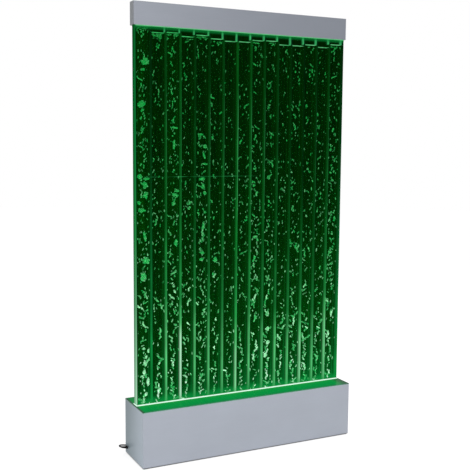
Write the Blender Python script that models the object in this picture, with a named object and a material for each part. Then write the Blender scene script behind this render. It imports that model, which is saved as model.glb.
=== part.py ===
"""A free-standing bubble wall: a slim acrylic water panel with fifteen air channels.

The panel stands in a sheet-metal base that holds its air pumps and lights, and a
lift-off cap covers its open top. Metres, +Z up. The origin is on the floor under the
middle of the base, +X runs along the panel to its right end as seen from the front,
and -Y is the front.
"""

import math

import bmesh
import bpy
from mathutils import Matrix, Vector

# Whole object
BASE_WIDTH = 1.000
BASE_DEPTH = 0.220
BASE_HEIGHT = 0.240
HEIGHT = 1.885

# Clearances and cuts
GAP = 0.0003
OVERRUN = 0.006
EDGE_CHAMFER = 0.0004

# Water panel: two sheets with bars between them
PANEL_INSET = 0.008
SHEET_THICKNESS = 0.005
WATER_DEPTH = 0.026
BAR_THICKNESS = 0.006
CHANNEL_COUNT = 15

# Air gallery in the panel's foot
GALLERY_COVER_THICKNESS = 0.004
GALLERY_HEIGHT = 0.018
GALLERY_WALL = 0.004
BOTTOM_BAR_HEIGHT = 0.020
SPIGOT_RADIUS = 0.0035
SPIGOT_BORE_RADIUS = 0.0015
SPIGOT_BELOW_TOP = 0.002
INLET_FROM_END = 0.245
INLET_RADIUS = 0.003
INLET_BORE_RADIUS = 0.0015
INLET_DROP = 0.010

# Cap
CAP_HEIGHT = 0.092
CAP_SHEET = 0.0015
CAP_CORNER_RADIUS = 0.0012
CAP_END_CLEARANCE = 0.0065
CAP_SEAL_THICKNESS = 0.0019
CAP_SEAL_HEIGHT = 0.013
CAP_SEAL_DROP = 0.003
CAP_REST_HEIGHT = 0.012
CAP_REST_LENGTH = 0.046
CAP_TONGUE_DROP = 0.010
CAP_TONGUE_CLEARANCE = 0.001

# Base shell and deck
SHELL_SHEET = 0.002
SHELL_FLOOR_GAP = 0.004
SHELL_FLANGE = 0.018
SHELL_END_FLANGE = 0.004
SHELL_CORNER_RADIUS = 0.0016
REAR_RECESS = 0.008
DECK_THICKNESS = 0.002
SLOT_CLEARANCE = 0.003
FOOT_SEAL_DEPTH = 0.006
FOOT_SEAL_RISE = 0.002

# Base pan and feet
PAN_HEIGHT = 0.008
PAN_SHEET = 0.002
PAN_RIM = 0.010
FOOT_RADIUS = 0.015
FOOT_CHAMFER = 0.0015
FOOT_INSET = 0.045

# Cradle that holds the panel's foot
CRADLE_HEIGHT = 0.090
CRADLE_WALL = 0.003
CRADLE_DEPTH = 0.045
BRACKET_FROM_END = 0.200
BRACKET_LENGTH = 0.050
BRACKET_HALF_SPAN = 0.045
BRACKET_FOOT = 0.015
BRACKET_SHEET = 0.003

# Light strips under the deck
LIGHT_STANDOFF = 0.010
CARRIER_SHEET = 0.002
CARRIER_DROP = 0.015
CARRIER_FLANGE = 0.015
STRIP_INSET = 0.010
STRIP_HEIGHT = 0.008
STRIP_THICKNESS = 0.001
CHIP_COUNT = 45
CHIP_LENGTH = 0.005
CHIP_HEIGHT = 0.0015

# Air pumps and their tubes
PUMP_LENGTH = 0.120
PUMP_DEPTH = 0.068
PUMP_HEIGHT = 0.060
PUMP_CHAMFER = 0.006
PUMP_FROM_END = 0.345
PUMP_OUTLET_HEIGHT = 0.038
PUMP_OUTLET_LENGTH = 0.008
TUBE_RADIUS = 0.003
TUBE_SPACING = 0.005
# How far a bend's pull reaches, as a share of the straight distance between its ends
BEND_SHARE = 0.5

# Power supply and light controller
SUPPLY_SIZE = (0.110, 0.052, 0.038)
SUPPLY_FROM_END = 0.060
CONTROLLER_SIZE = (0.085, 0.045, 0.024)
CONTROLLER_FROM_END = 0.085
HOUSING_CHAMFER = 0.003
HOUSING_FROM_REAR = 0.008

# Rear service door, its hinge and latch
DOOR_CENTRE_X = 0.100
DOOR_CENTRE_HEIGHT = 0.115
OPENING_WIDTH = 0.300
OPENING_HEIGHT = 0.140
DOOR_OVERLAP = 0.010
DOOR_SHEET = 0.002
KNUCKLE_RADIUS = 0.0028
KNUCKLE_LENGTH = 0.050
KNUCKLE_CLEARANCE = 0.0007
PIN_RADIUS = 0.0012
PIN_CLEARANCE = 0.0001
HINGE_HEIGHT = 0.120
HINGE_FLANGE = 0.018
HINGE_SHEET = 0.0015
LATCH_FROM_EDGE = 0.018
LATCH_KNOB_RADIUS = 0.011
LATCH_KNOB_THICKNESS = 0.0044
LATCH_SHAFT_RADIUS = 0.003
LATCH_GROOVE_WIDTH = 0.002
LATCH_GROOVE_DEPTH = 0.0014
CAM_WIDTH = 0.010
CAM_THICKNESS = 0.002
CAM_REACH = 0.008
CAM_BEHIND_WALL = 0.0006

# Rocker switch
SWITCH_FROM_LEFT = 0.140
SWITCH_HEIGHT = 0.150
BEZEL_WIDTH = 0.024
BEZEL_HEIGHT = 0.034
BEZEL_THICKNESS = 0.0015
BEZEL_RIM = 0.002
SWITCH_BODY_DEPTH = 0.016
POCKET_RIM = 0.0028
POCKET_DEPTH = 0.010
ROCKER_SIDE_CLEARANCE = 0.0004
ROCKER_END_CLEARANCE = 0.0010
ROCKER_PIVOT_DEPTH = 0.003
ROCKER_END_RISE = 0.004
ROCKER_DIP = 0.001
ROCKER_BACK_DEPTH = 0.004
ROCKER_BACK_HALF = 0.006
ROCKER_TILT_DEGREES = 7

# Mains lead, coil, tie and plug
LEAD_DIAMETER = 0.006
EXIT_FROM_REAR = 0.022
EXIT_HEIGHT = 0.030
RELIEF_LENGTH = 0.026
RELIEF_COLLAR_RADIUS = 0.008
RELIEF_COLLAR_LENGTH = 0.0015
RELIEF_ROOT_RADIUS = 0.0056
RELIEF_TIP_RADIUS = 0.0036
RELIEF_SHANK_RADIUS = 0.005
RELIEF_SHANK_LENGTH = 0.010
LEAD_SPACING = 0.010
LEAD_END_STEP = 0.001
COIL_FROM_EXIT = 0.200
COIL_OUTER_RADIUS = 0.0460
COIL_TURNS = 7
# How much of a turn the coil takes to climb onto its second layer
COIL_CLIMB_TURNS = 0.5
COIL_CLEARANCE = 0.0005
COIL_TAIL = 0.026
TIE_WIDTH = 0.008
TIE_THICKNESS = 0.0008
TIE_SIDE_CLEARANCE = 0.0009
PLUG_BOOT_LENGTH = 0.014
PLUG_BOOT_TIP_RADIUS = 0.0036
PLUG_BOOT_ROOT_RADIUS = 0.0052
PLUG_SHOULDER = 0.005
PLUG_HEAD_LENGTH = 0.026
PLUG_HEAD_HALF_WIDTH = 0.0125
PLUG_NOSE = 0.003
PLUG_NOSE_STEP = 0.0015
PLUG_CORNER_RADIUS = 0.004
BLADE_SPACING = 0.0127
BLADE_THICKNESS = 0.0015
BLADE_HEIGHT = 0.0063
BLADE_LENGTH = 0.017
# How far a blade is sunk into the plug's head, so that the two are one solid
BLADE_ROOT = 0.004

# The lead's route from the shell's left wall to the coil: x and y from the exit, z from the floor
LEAD_ROUTE = [
    (0.000, 0.000, 0.0300),
    (-0.006, 0.0005, 0.0300),
    (-0.0175, 0.0065, 0.0299),
    (-0.0250, 0.0180, 0.0296),
    (-0.0245, 0.0315, 0.0285),
    (-0.0165, 0.0430, 0.0262),
    (-0.0035, 0.0500, 0.0228),
    (0.0120, 0.0535, 0.0184),
    (0.0290, 0.0550, 0.0134),
    (0.0470, 0.0550, 0.0084),
    (0.0660, 0.0540, 0.0047),
    (0.0860, 0.0520, 0.0032),
    (0.1070, 0.0495, 0.0031),
    (0.1290, 0.0475, 0.0031),
    (0.1500, 0.0465, 0.0032),
    (0.1700, 0.0460, 0.0037),
    (0.1840, 0.0460, 0.0041),
]

# Smoothness of round shapes
ROUND_SIDES = 24
SMALL_SIDES = 16
CORNER_STEPS = 3
COIL_STEPS = 24
SHARP_ANGLE_DEGREES = 35
# Bevel resolutions of tubes, fine ones first
RELIEF_BEVEL_STEPS = 4
LEAD_BEVEL_STEPS = 3
THIN_TUBE_BEVEL_STEPS = 2
COIL_BEVEL_STEPS = 1

# Sizes worked out from those above
PANEL_WIDTH = BASE_WIDTH - 2 * PANEL_INSET
PANEL_DEPTH = WATER_DEPTH + 2 * SHEET_THICKNESS
PANEL_BOTTOM = CRADLE_HEIGHT + CRADLE_WALL + GAP
CAP_DEPTH = PANEL_DEPTH + 2 * (CAP_SEAL_THICKNESS + 2 * GAP) + 2 * CAP_SHEET
CAP_WIDTH = PANEL_WIDTH + 2 * CAP_END_CLEARANCE + 2 * CAP_SHEET
CAP_BOTTOM = HEIGHT - CAP_HEIGHT
CAP_CEILING = HEIGHT - CAP_SHEET
PANEL_TOP = CAP_CEILING - CAP_REST_HEIGHT - 2 * GAP
CHANNEL_PITCH = (PANEL_WIDTH - BAR_THICKNESS) / CHANNEL_COUNT
GALLERY_BOTTOM = PANEL_BOTTOM + GALLERY_COVER_THICKNESS + GAP
GALLERY_TOP = GALLERY_BOTTOM + GALLERY_HEIGHT
BOTTOM_BAR_TOP = GALLERY_TOP + GAP + BOTTOM_BAR_HEIGHT
BAR_HALF_DEPTH = WATER_DEPTH / 2 - GAP
SHELL_TOP = BASE_HEIGHT - DECK_THICKNESS - GAP
DECK_BOTTOM = BASE_HEIGHT - DECK_THICKNESS
REAR_WALL_OUTSIDE = BASE_DEPTH / 2 - REAR_RECESS
REAR_WALL_INSIDE = REAR_WALL_OUTSIDE - SHELL_SHEET
FRONT_WALL_INSIDE = SHELL_SHEET - BASE_DEPTH / 2
END_WALL_INSIDE = BASE_WIDTH / 2 - SHELL_SHEET
PAN_TOP = PAN_HEIGHT + PAN_SHEET
INLET_X = BASE_WIDTH / 2 - INLET_FROM_END
PUMP_X = BASE_WIDTH / 2 - PUMP_FROM_END
BRACKET_X = BASE_WIDTH / 2 - BRACKET_FROM_END
LEAD_RADIUS = LEAD_DIAMETER / 2
COIL_PITCH = LEAD_DIAMETER + COIL_CLEARANCE
COIL_LOW = TIE_THICKNESS + GAP + LEAD_RADIUS
COIL_HIGH = COIL_LOW + COIL_PITCH
EXIT = Vector((-BASE_WIDTH / 2, BASE_DEPTH / 2 - EXIT_FROM_REAR, 0))
COIL_START = EXIT + Vector((COIL_FROM_EXIT, LEAD_ROUTE[-1][1], COIL_LOW))
COIL_CENTRE = COIL_START + Vector((0, COIL_OUTER_RADIUS, 0))


def clear_scene():
    """Empty the file of whatever it opened with."""
    for obj in list(bpy.data.objects):
        bpy.data.objects.remove(obj, do_unlink=True)
    for group in (bpy.data.meshes, bpy.data.curves, bpy.data.materials):
        for item in list(group):
            group.remove(item)


def linear(value):
    """A colour channel from 0 to 255 as the linear share that a shader wants."""
    share = value / 255
    if share <= 0.04045:
        return share / 12.92
    return ((share + 0.055) / 1.055) ** 2.4


def material(name, colour, roughness, metallic=0.0, transmission=0.0):
    """A Principled material; the colour is red, green and blue from 0 to 255."""
    made = bpy.data.materials.new(name)
    made.use_nodes = True
    shader = made.node_tree.nodes["Principled BSDF"]
    shader.inputs["Base Color"].default_value = [linear(c) for c in colour] + [1]
    shader.inputs["Roughness"].default_value = roughness
    shader.inputs["Metallic"].default_value = metallic
    shader.inputs["Transmission Weight"].default_value = transmission
    made.diffuse_color = [linear(c) for c in colour] + [1]
    return made


def solid(name, shape, finish, smooth=False):
    """Turn a bmesh into a named object with outward faces."""
    bmesh.ops.recalc_face_normals(shape, faces=shape.faces)
    mesh = bpy.data.meshes.new(name)
    shape.to_mesh(mesh)
    shape.free()
    if finish is not None:
        mesh.materials.append(finish)
    if smooth:
        mesh.shade_smooth()
        mesh.set_sharp_from_angle(angle=math.radians(SHARP_ANGLE_DEGREES))
    obj = bpy.data.objects.new(name, mesh)
    bpy.context.scene.collection.objects.link(obj)
    return obj


def box(name, low, high, finish, chamfer=0.0):
    """A block between two corners, with its edges cut back by the chamfer."""
    shape = bmesh.new()
    middle = (Vector(low) + Vector(high)) / 2
    size = Vector(high) - Vector(low)
    bmesh.ops.create_cube(shape, size=1, matrix=Matrix.Translation(middle) @ Matrix.Diagonal(size.to_4d()))
    if chamfer:
        bmesh.ops.bevel(shape, geom=shape.edges[:], offset=chamfer, segments=1, affect="EDGES")
    return solid(name, shape, finish)


def prism(name, outline, axis, low, high, finish, smooth=False):
    """An outline of two-number points pushed along X, Y or Z from low to high.

    The two numbers are (y, z) for X, (x, z) for Y and (x, y) for Z.
    """
    place = {
        "X": lambda a, b, c: (c, a, b),
        "Y": lambda a, b, c: (a, c, b),
        "Z": lambda a, b, c: (a, b, c),
    }[axis]
    shape = bmesh.new()
    rings = []
    for level in (low, high):
        rings.append([shape.verts.new(place(a, b, level)) for a, b in outline])
    count = len(outline)
    shape.faces.new(rings[0])
    shape.faces.new(rings[1])
    for i in range(count):
        j = (i + 1) % count
        shape.faces.new((rings[0][i], rings[0][j], rings[1][j], rings[1][i]))
    return solid(name, shape, finish, smooth)


def loft(name, sections, finish, smooth=True):
    """A closed skin through rings of points that all have the same count."""
    shape = bmesh.new()
    rings = [[shape.verts.new(point) for point in section] for section in sections]
    count = len(rings[0])
    for first, second in zip(rings, rings[1:]):
        for i in range(count):
            j = (i + 1) % count
            shape.faces.new((first[i], first[j], second[j], second[i]))
    shape.faces.new(rings[0])
    shape.faces.new(rings[-1])
    return solid(name, shape, finish, smooth)


def circle(radius, centre=(0, 0), sides=ROUND_SIDES):
    """The points of a circle in a plane."""
    turns = [2 * math.pi * i / sides for i in range(sides)]
    return [(centre[0] + radius * math.cos(t), centre[1] + radius * math.sin(t)) for t in turns]


def rounded_rectangle(half_a, half_b, radius, centre=(0, 0), steps=CORNER_STEPS):
    """The points of a rectangle with rounded corners, anticlockwise."""
    points = []
    corners = ((1, 1, 0), (-1, 1, 90), (-1, -1, 180), (1, -1, 270))
    for side_a, side_b, start in corners:
        for i in range(steps + 1):
            turn = math.radians(start + 90 * i / steps)
            a = centre[0] + side_a * (half_a - radius) + radius * math.cos(turn)
            b = centre[1] + side_b * (half_b - radius) + radius * math.sin(turn)
            points.append((a, b))
    return points


def combine(obj, other, operation):
    """Cut another solid out of an object, or join it on; the other becomes a hidden helper."""
    other.hide_render = True
    other.display_type = "WIRE"
    step = obj.modifiers.new(other.name, "BOOLEAN")
    step.operation = operation
    step.solver = "EXACT"
    step.object = other


def cut(obj, other):
    combine(obj, other, "DIFFERENCE")


def join(obj, other):
    combine(obj, other, "UNION")


def tube(name, points, radius, resolution, finish, radius_shares=None):
    """A round tube along points, with filled ends."""
    curve = bpy.data.curves.new(name, "CURVE")
    curve.dimensions = "3D"
    curve.bevel_depth = radius
    curve.bevel_resolution = resolution
    curve.use_fill_caps = True
    spline = curve.splines.new("POLY")
    spline.points.add(len(points) - 1)
    for i, point in enumerate(points):
        spline.points[i].co = (*point, 1)
        if radius_shares:
            spline.points[i].radius = radius_shares[i]
    spline.use_smooth = True
    curve.materials.append(finish)
    obj = bpy.data.objects.new(name, curve)
    bpy.context.scene.collection.objects.link(obj)
    return obj


def smooth_points(route, fine=24):
    """Many points along a smooth curve that passes through the route's own points."""
    points = [Vector(p) for p in route]
    before = 2 * points[0] - points[1]
    after = 2 * points[-1] - points[-2]
    padded = [before, *points, after]
    found = []
    for a, b, c, d in zip(padded, padded[1:], padded[2:], padded[3:]):
        for i in range(fine):
            t = i / fine
            bend = (2 * a - 5 * b + 4 * c - d) * t * t
            twist = (3 * b - a - 3 * c + d) * t * t * t
            found.append((2 * b + (c - a) * t + bend + twist) / 2)
    found.append(points[-1])
    return found


def length_of(points):
    return sum((b - a).length for a, b in zip(points, points[1:]))


def evenly_spaced(points, start, end, spacing):
    """Points about one spacing apart along a line, from one distance to another."""
    count = max(1, round((end - start) / spacing))
    wanted = [start + (end - start) * i / count for i in range(count + 1)]
    found = []
    along = 0.0
    for a, b in zip(points, points[1:]):
        step = (b - a).length
        while len(found) < len(wanted) and wanted[len(found)] <= along + step:
            found.append(a.lerp(b, (wanted[len(found)] - along) / step))
        along += step
    if len(found) < len(wanted):
        found.append(points[-1])
    return found


def square_ended(points, start, end, spacing):
    """Points from one distance along a line to another, with a short straight step at each end."""
    inner = evenly_spaced(points, start + LEAD_END_STEP, end - LEAD_END_STEP, spacing)
    first = evenly_spaced(points, start, start + LEAD_END_STEP, LEAD_END_STEP)[0]
    last = evenly_spaced(points, end - LEAD_END_STEP, end, LEAD_END_STEP)[-1]
    return [first, *inner, last]


def bent_run(start, start_way, end, end_way, radius):
    """Points of a tube that leaves one face and meets another square on, bending between them."""
    first = start + start_way * radius
    last = end - end_way * radius
    reach = (last - first).length * BEND_SHARE
    pull_1 = first + start_way * reach
    pull_2 = last - end_way * reach
    steps = max(6, round((last - first).length / TUBE_SPACING))
    points = [start]
    for i in range(steps + 1):
        t = i / steps
        near = first * (1 - t) ** 3 + pull_1 * 3 * t * (1 - t) ** 2
        points.append(near + pull_2 * 3 * t * t * (1 - t) + last * t ** 3)
    points.append(end)
    return points


def carried_by(name, place, pieces):
    """Hang pieces on an empty that lies on their joint's axis."""
    axis = bpy.data.objects.new(name, None)
    bpy.context.scene.collection.objects.link(axis)
    axis.location = place
    bpy.context.view_layer.update()
    for piece in pieces:
        piece.parent = axis
        piece.matrix_parent_inverse = axis.matrix_world.inverted()
    return axis


def bar_centre(index):
    """The x of a bar's middle, from 0 at the left end bar."""
    return -PANEL_WIDTH / 2 + BAR_THICKNESS / 2 + index * CHANNEL_PITCH


def channel_centre(index):
    """The x of a channel's middle, from 0 at the left."""
    return bar_centre(index) + CHANNEL_PITCH / 2


def make_sheets(clear, dark):
    """The clear front sheet and the dark back sheet of the water panel."""
    half = PANEL_WIDTH / 2
    outside = PANEL_DEPTH / 2
    inside = WATER_DEPTH / 2
    front_low = (-half, -outside, PANEL_BOTTOM)
    front_high = (half, -inside, PANEL_TOP)
    box("front_sheet", front_low, front_high, clear, EDGE_CHAMFER)
    back_low = (-half, inside, PANEL_BOTTOM)
    back_high = (half, outside, PANEL_TOP)
    box("back_sheet", back_low, back_high, dark, EDGE_CHAMFER)


def make_bars(clear):
    """The two end bars and the dividers between the channels."""
    last = CHANNEL_COUNT
    for index in range(last + 1):
        middle = bar_centre(index)
        low_x = middle - BAR_THICKNESS / 2
        high_x = middle + BAR_THICKNESS / 2
        bottom = BOTTOM_BAR_TOP + GAP
        name = f"divider_{index:02d}"
        if index in (0, last):
            bottom = PANEL_BOTTOM
            name = "end_bar_left" if index == 0 else "end_bar_right"
        box(name, (low_x, -BAR_HALF_DEPTH, bottom), (high_x, BAR_HALF_DEPTH, PANEL_TOP), clear, EDGE_CHAMFER)


def make_gallery(clear, grey):
    """The bored bottom bar, the air rail whose spigots fill its holes, and the rail's cover."""
    half = PANEL_WIDTH / 2 - BAR_THICKNESS - GAP
    bar_low = (-half, -BAR_HALF_DEPTH, GALLERY_TOP + GAP)
    bar = box("bottom_bar", bar_low, (half, BAR_HALF_DEPTH, BOTTOM_BAR_TOP), clear)
    rail_low = (-half, -BAR_HALF_DEPTH, GALLERY_BOTTOM)
    rail = box("air_rail", rail_low, (half, BAR_HALF_DEPTH, GALLERY_TOP), grey)
    cover_low = (-half, -BAR_HALF_DEPTH, PANEL_BOTTOM)
    cover_high = (half, BAR_HALF_DEPTH, PANEL_BOTTOM + GALLERY_COVER_THICKNESS)
    cover = box("rail_cover", cover_low, cover_high, grey)
    inside = half - GALLERY_WALL
    trough_low = (-inside, GALLERY_WALL - BAR_HALF_DEPTH, GALLERY_BOTTOM - OVERRUN)
    trough_high = (inside, BAR_HALF_DEPTH - GALLERY_WALL, GALLERY_TOP - GALLERY_WALL)
    cut(rail, box("rail_trough", trough_low, trough_high, None))
    spigot_foot = GALLERY_TOP - GALLERY_WALL / 2
    spigot_top = BOTTOM_BAR_TOP - SPIGOT_BELOW_TOP
    for index in range(CHANNEL_COUNT):
        centre = (channel_centre(index), 0)
        spigot = circle(SPIGOT_RADIUS, centre, SMALL_SIDES)
        bore = circle(SPIGOT_BORE_RADIUS, centre, SMALL_SIDES)
        hole = circle(SPIGOT_RADIUS + GAP, centre, SMALL_SIDES)
        join(rail, prism(f"spigot_{index}", spigot, "Z", spigot_foot, spigot_top, None))
        bore_low = GALLERY_TOP - GALLERY_WALL - OVERRUN
        cut(rail, prism(f"spigot_bore_{index}", bore, "Z", bore_low, spigot_top + OVERRUN, None))
        hole_low = GALLERY_TOP - OVERRUN
        cut(bar, prism(f"nozzle_hole_{index}", hole, "Z", hole_low, BOTTOM_BAR_TOP + OVERRUN, None))
    for side in (-1, 1):
        centre = (side * INLET_X, 0)
        stem = circle(INLET_RADIUS, centre, SMALL_SIDES)
        bore = circle(INLET_BORE_RADIUS, centre, SMALL_SIDES)
        stem_bottom = CRADLE_HEIGHT - INLET_DROP
        stem_top = PANEL_BOTTOM + GALLERY_COVER_THICKNESS / 2
        join(cover, prism(f"inlet_{side}", stem, "Z", stem_bottom, stem_top, None))
        bore_low = stem_bottom - OVERRUN
        cut(cover, prism(f"inlet_bore_{side}", bore, "Z", bore_low, GALLERY_BOTTOM + OVERRUN, None))


def make_cap(metal, silicone, plastic):
    """The lift-off cap: a folded channel with end walls, two lips and two locating rests."""
    outline = rounded_rectangle(CAP_WIDTH / 2, CAP_DEPTH / 2, CAP_CORNER_RADIUS)
    shell = prism("cap_shell", outline, "Z", CAP_BOTTOM, HEIGHT, metal, smooth=True)
    inside_x = CAP_WIDTH / 2 - CAP_SHEET
    inside_y = CAP_DEPTH / 2 - CAP_SHEET
    hollow_low = (-inside_x, -inside_y, CAP_BOTTOM - OVERRUN)
    cut(shell, box("cap_hollow", hollow_low, (inside_x, inside_y, CAP_CEILING), None))
    pieces = [shell]
    for name, side in (("cap_seal_front", -1), ("cap_seal_rear", 1)):
        near = side * (PANEL_DEPTH / 2 + GAP)
        far = side * (PANEL_DEPTH / 2 + GAP + CAP_SEAL_THICKNESS)
        low = (-PANEL_WIDTH / 2, min(near, far), CAP_BOTTOM - CAP_SEAL_DROP)
        high = (PANEL_WIDTH / 2, max(near, far), CAP_BOTTOM - CAP_SEAL_DROP + CAP_SEAL_HEIGHT)
        pieces.append(box(name, low, high, silicone, EDGE_CHAMFER))
    block_bottom = PANEL_TOP + GAP
    block_top = CAP_CEILING - GAP
    tongue_half = BAR_HALF_DEPTH - CAP_TONGUE_CLEARANCE
    block_half = inside_y - GAP
    tongue_bottom = PANEL_TOP - CAP_TONGUE_DROP
    profile = [
        (-block_half, block_bottom),
        (-tongue_half, block_bottom),
        (-tongue_half, tongue_bottom),
        (tongue_half, tongue_bottom),
        (tongue_half, block_bottom),
        (block_half, block_bottom),
        (block_half, block_top),
        (-block_half, block_top),
    ]
    for name, index in (("cap_rest_left", 1), ("cap_rest_right", CHANNEL_COUNT - 2)):
        middle = channel_centre(index)
        low_x = middle - CAP_REST_LENGTH / 2
        pieces.append(prism(name, profile, "X", low_x, low_x + CAP_REST_LENGTH, plastic))
    carried_by("cap_axis", (0, 0, CAP_BOTTOM), pieces)


def make_shell(metal):
    """The base's four walls and top flange, folded from sheet, with a set-back rear wall."""
    outline = rounded_rectangle(BASE_WIDTH / 2, BASE_DEPTH / 2, SHELL_CORNER_RADIUS)
    shell = prism("base_shell", outline, "Z", SHELL_FLOOR_GAP, SHELL_TOP, metal, smooth=True)
    below = SHELL_FLOOR_GAP - OVERRUN
    flange_bottom = SHELL_TOP - SHELL_SHEET
    hollow_low = (-END_WALL_INSIDE, FRONT_WALL_INSIDE, below)
    hollow_high = (END_WALL_INSIDE, REAR_WALL_INSIDE, flange_bottom)
    cut(shell, box("shell_hollow", hollow_low, hollow_high, None))
    recess_low = (-END_WALL_INSIDE, REAR_WALL_OUTSIDE, below)
    recess_high = (END_WALL_INSIDE, BASE_DEPTH / 2 + OVERRUN, flange_bottom)
    cut(shell, box("rear_recess", recess_low, recess_high, None))
    top_low = (SHELL_END_FLANGE - BASE_WIDTH / 2, SHELL_FLANGE - BASE_DEPTH / 2, flange_bottom - OVERRUN)
    top_high = (BASE_WIDTH / 2 - SHELL_END_FLANGE, BASE_DEPTH / 2 - SHELL_FLANGE, SHELL_TOP + OVERRUN)
    cut(shell, box("shell_top_opening", top_low, top_high, None))
    wall_low = REAR_WALL_INSIDE - OVERRUN
    wall_high = REAR_WALL_OUTSIDE + OVERRUN
    door_low_x = DOOR_CENTRE_X - OPENING_WIDTH / 2
    door_low_z = DOOR_CENTRE_HEIGHT - OPENING_HEIGHT / 2
    door_low = (door_low_x, wall_low, door_low_z)
    door_high = (door_low_x + OPENING_WIDTH, wall_high, door_low_z + OPENING_HEIGHT)
    cut(shell, box("door_opening", door_low, door_high, None))
    half_x = BEZEL_WIDTH / 2 - BEZEL_RIM + GAP
    half_z = BEZEL_HEIGHT / 2 - BEZEL_RIM + GAP
    middle_x = SWITCH_FROM_LEFT - BASE_WIDTH / 2
    switch_low = (middle_x - half_x, wall_low, SWITCH_HEIGHT - half_z)
    switch_high = (middle_x + half_x, wall_high, SWITCH_HEIGHT + half_z)
    cut(shell, box("switch_opening", switch_low, switch_high, None))
    hole = circle(RELIEF_SHANK_RADIUS + GAP, (EXIT.y, EXIT_HEIGHT))
    hole_low = -BASE_WIDTH / 2 - OVERRUN
    cut(shell, prism("lead_hole", hole, "X", hole_low, OVERRUN - END_WALL_INSIDE, None))


def make_deck(metal, silicone):
    """The deck plate with the panel's slot, and the silicone ring round the panel's foot."""
    outline = rounded_rectangle(BASE_WIDTH / 2, BASE_DEPTH / 2, SHELL_CORNER_RADIUS)
    deck = prism("deck_plate", outline, "Z", DECK_BOTTOM, BASE_HEIGHT, metal, smooth=True)
    slot_x = PANEL_WIDTH / 2 + SLOT_CLEARANCE
    slot_y = PANEL_DEPTH / 2 + SLOT_CLEARANCE
    slot_low = (-slot_x, -slot_y, DECK_BOTTOM - OVERRUN)
    cut(deck, box("panel_slot", slot_low, (slot_x, slot_y, BASE_HEIGHT + OVERRUN), None))
    ring_low = (GAP - slot_x, GAP - slot_y, BASE_HEIGHT - FOOT_SEAL_DEPTH)
    ring_high = (slot_x - GAP, slot_y - GAP, BASE_HEIGHT + FOOT_SEAL_RISE)
    seal = box("foot_seal", ring_low, ring_high, silicone, EDGE_CHAMFER)
    inner_x = PANEL_WIDTH / 2 + GAP
    inner_y = PANEL_DEPTH / 2 + GAP
    inner_low = (-inner_x, -inner_y, ring_low[2] - OVERRUN)
    cut(seal, box("foot_seal_inside", inner_low, (inner_x, inner_y, ring_high[2] + OVERRUN), None))


def make_pan(metal, rubber):
    """The base's floor tray and the rubber feet under it."""
    half_x = END_WALL_INSIDE - GAP
    low_y = FRONT_WALL_INSIDE + GAP
    high_y = REAR_WALL_INSIDE - GAP
    pan = box("base_pan", (-half_x, low_y, PAN_HEIGHT), (half_x, high_y, PAN_TOP + PAN_RIM), metal)
    tray_low = (PAN_SHEET - half_x, low_y + PAN_SHEET, PAN_TOP)
    tray_high = (half_x - PAN_SHEET, high_y - PAN_SHEET, PAN_TOP + PAN_RIM + OVERRUN)
    cut(pan, box("pan_hollow", tray_low, tray_high, None))
    foot_x = BASE_WIDTH / 2 - FOOT_INSET
    foot_y = BASE_DEPTH / 2 - FOOT_INSET
    for row, side_y in (("front", -1), ("rear", 1)):
        for end, side_x in (("left", -1), ("right", 1)):
            centre = (side_x * foot_x, side_y * foot_y)
            levels = (
                (FOOT_RADIUS - FOOT_CHAMFER, 0),
                (FOOT_RADIUS, FOOT_CHAMFER),
                (FOOT_RADIUS, PAN_HEIGHT - GAP),
            )
            rings = [[(a, b, level) for a, b in circle(radius, centre)] for radius, level in levels]
            loft(f"foot_{row}_{end}", rings, rubber)


def make_cradle(metal):
    """The channel that carries the panel's foot, on two bent brackets that stand in the pan."""
    inside = PANEL_DEPTH / 2 + GAP
    outside = inside + CRADLE_WALL
    floor = CRADLE_HEIGHT + CRADLE_WALL
    top = CRADLE_HEIGHT + CRADLE_DEPTH
    profile = [
        (-outside, CRADLE_HEIGHT),
        (outside, CRADLE_HEIGHT),
        (outside, top),
        (inside, top),
        (inside, floor),
        (-inside, floor),
        (-inside, top),
        (-outside, top),
    ]
    cradle = prism("cradle", profile, "X", -PANEL_WIDTH / 2, PANEL_WIDTH / 2, metal)
    for side in (-1, 1):
        hole = circle(INLET_RADIUS + GAP, (side * INLET_X, 0), SMALL_SIDES)
        low = CRADLE_HEIGHT - OVERRUN
        cut(cradle, prism(f"cradle_hole_{side}", hole, "Z", low, floor + OVERRUN, None))
    foot = PAN_TOP + GAP
    head = CRADLE_HEIGHT - GAP
    outer = BRACKET_HALF_SPAN
    inner = BRACKET_HALF_SPAN - BRACKET_SHEET
    toe = BRACKET_HALF_SPAN + BRACKET_FOOT
    hat = [
        (-toe, foot),
        (-inner, foot),
        (-inner, head - BRACKET_SHEET),
        (inner, head - BRACKET_SHEET),
        (inner, foot),
        (toe, foot),
        (toe, foot + BRACKET_SHEET),
        (outer, foot + BRACKET_SHEET),
        (outer, head),
        (-outer, head),
        (-outer, foot + BRACKET_SHEET),
        (-toe, foot + BRACKET_SHEET),
    ]
    for name, side in (("cradle_bracket_left", -1), ("cradle_bracket_right", 1)):
        low_x = side * BRACKET_X - BRACKET_LENGTH / 2
        prism(name, hat, "X", low_x, low_x + BRACKET_LENGTH, metal)


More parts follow.
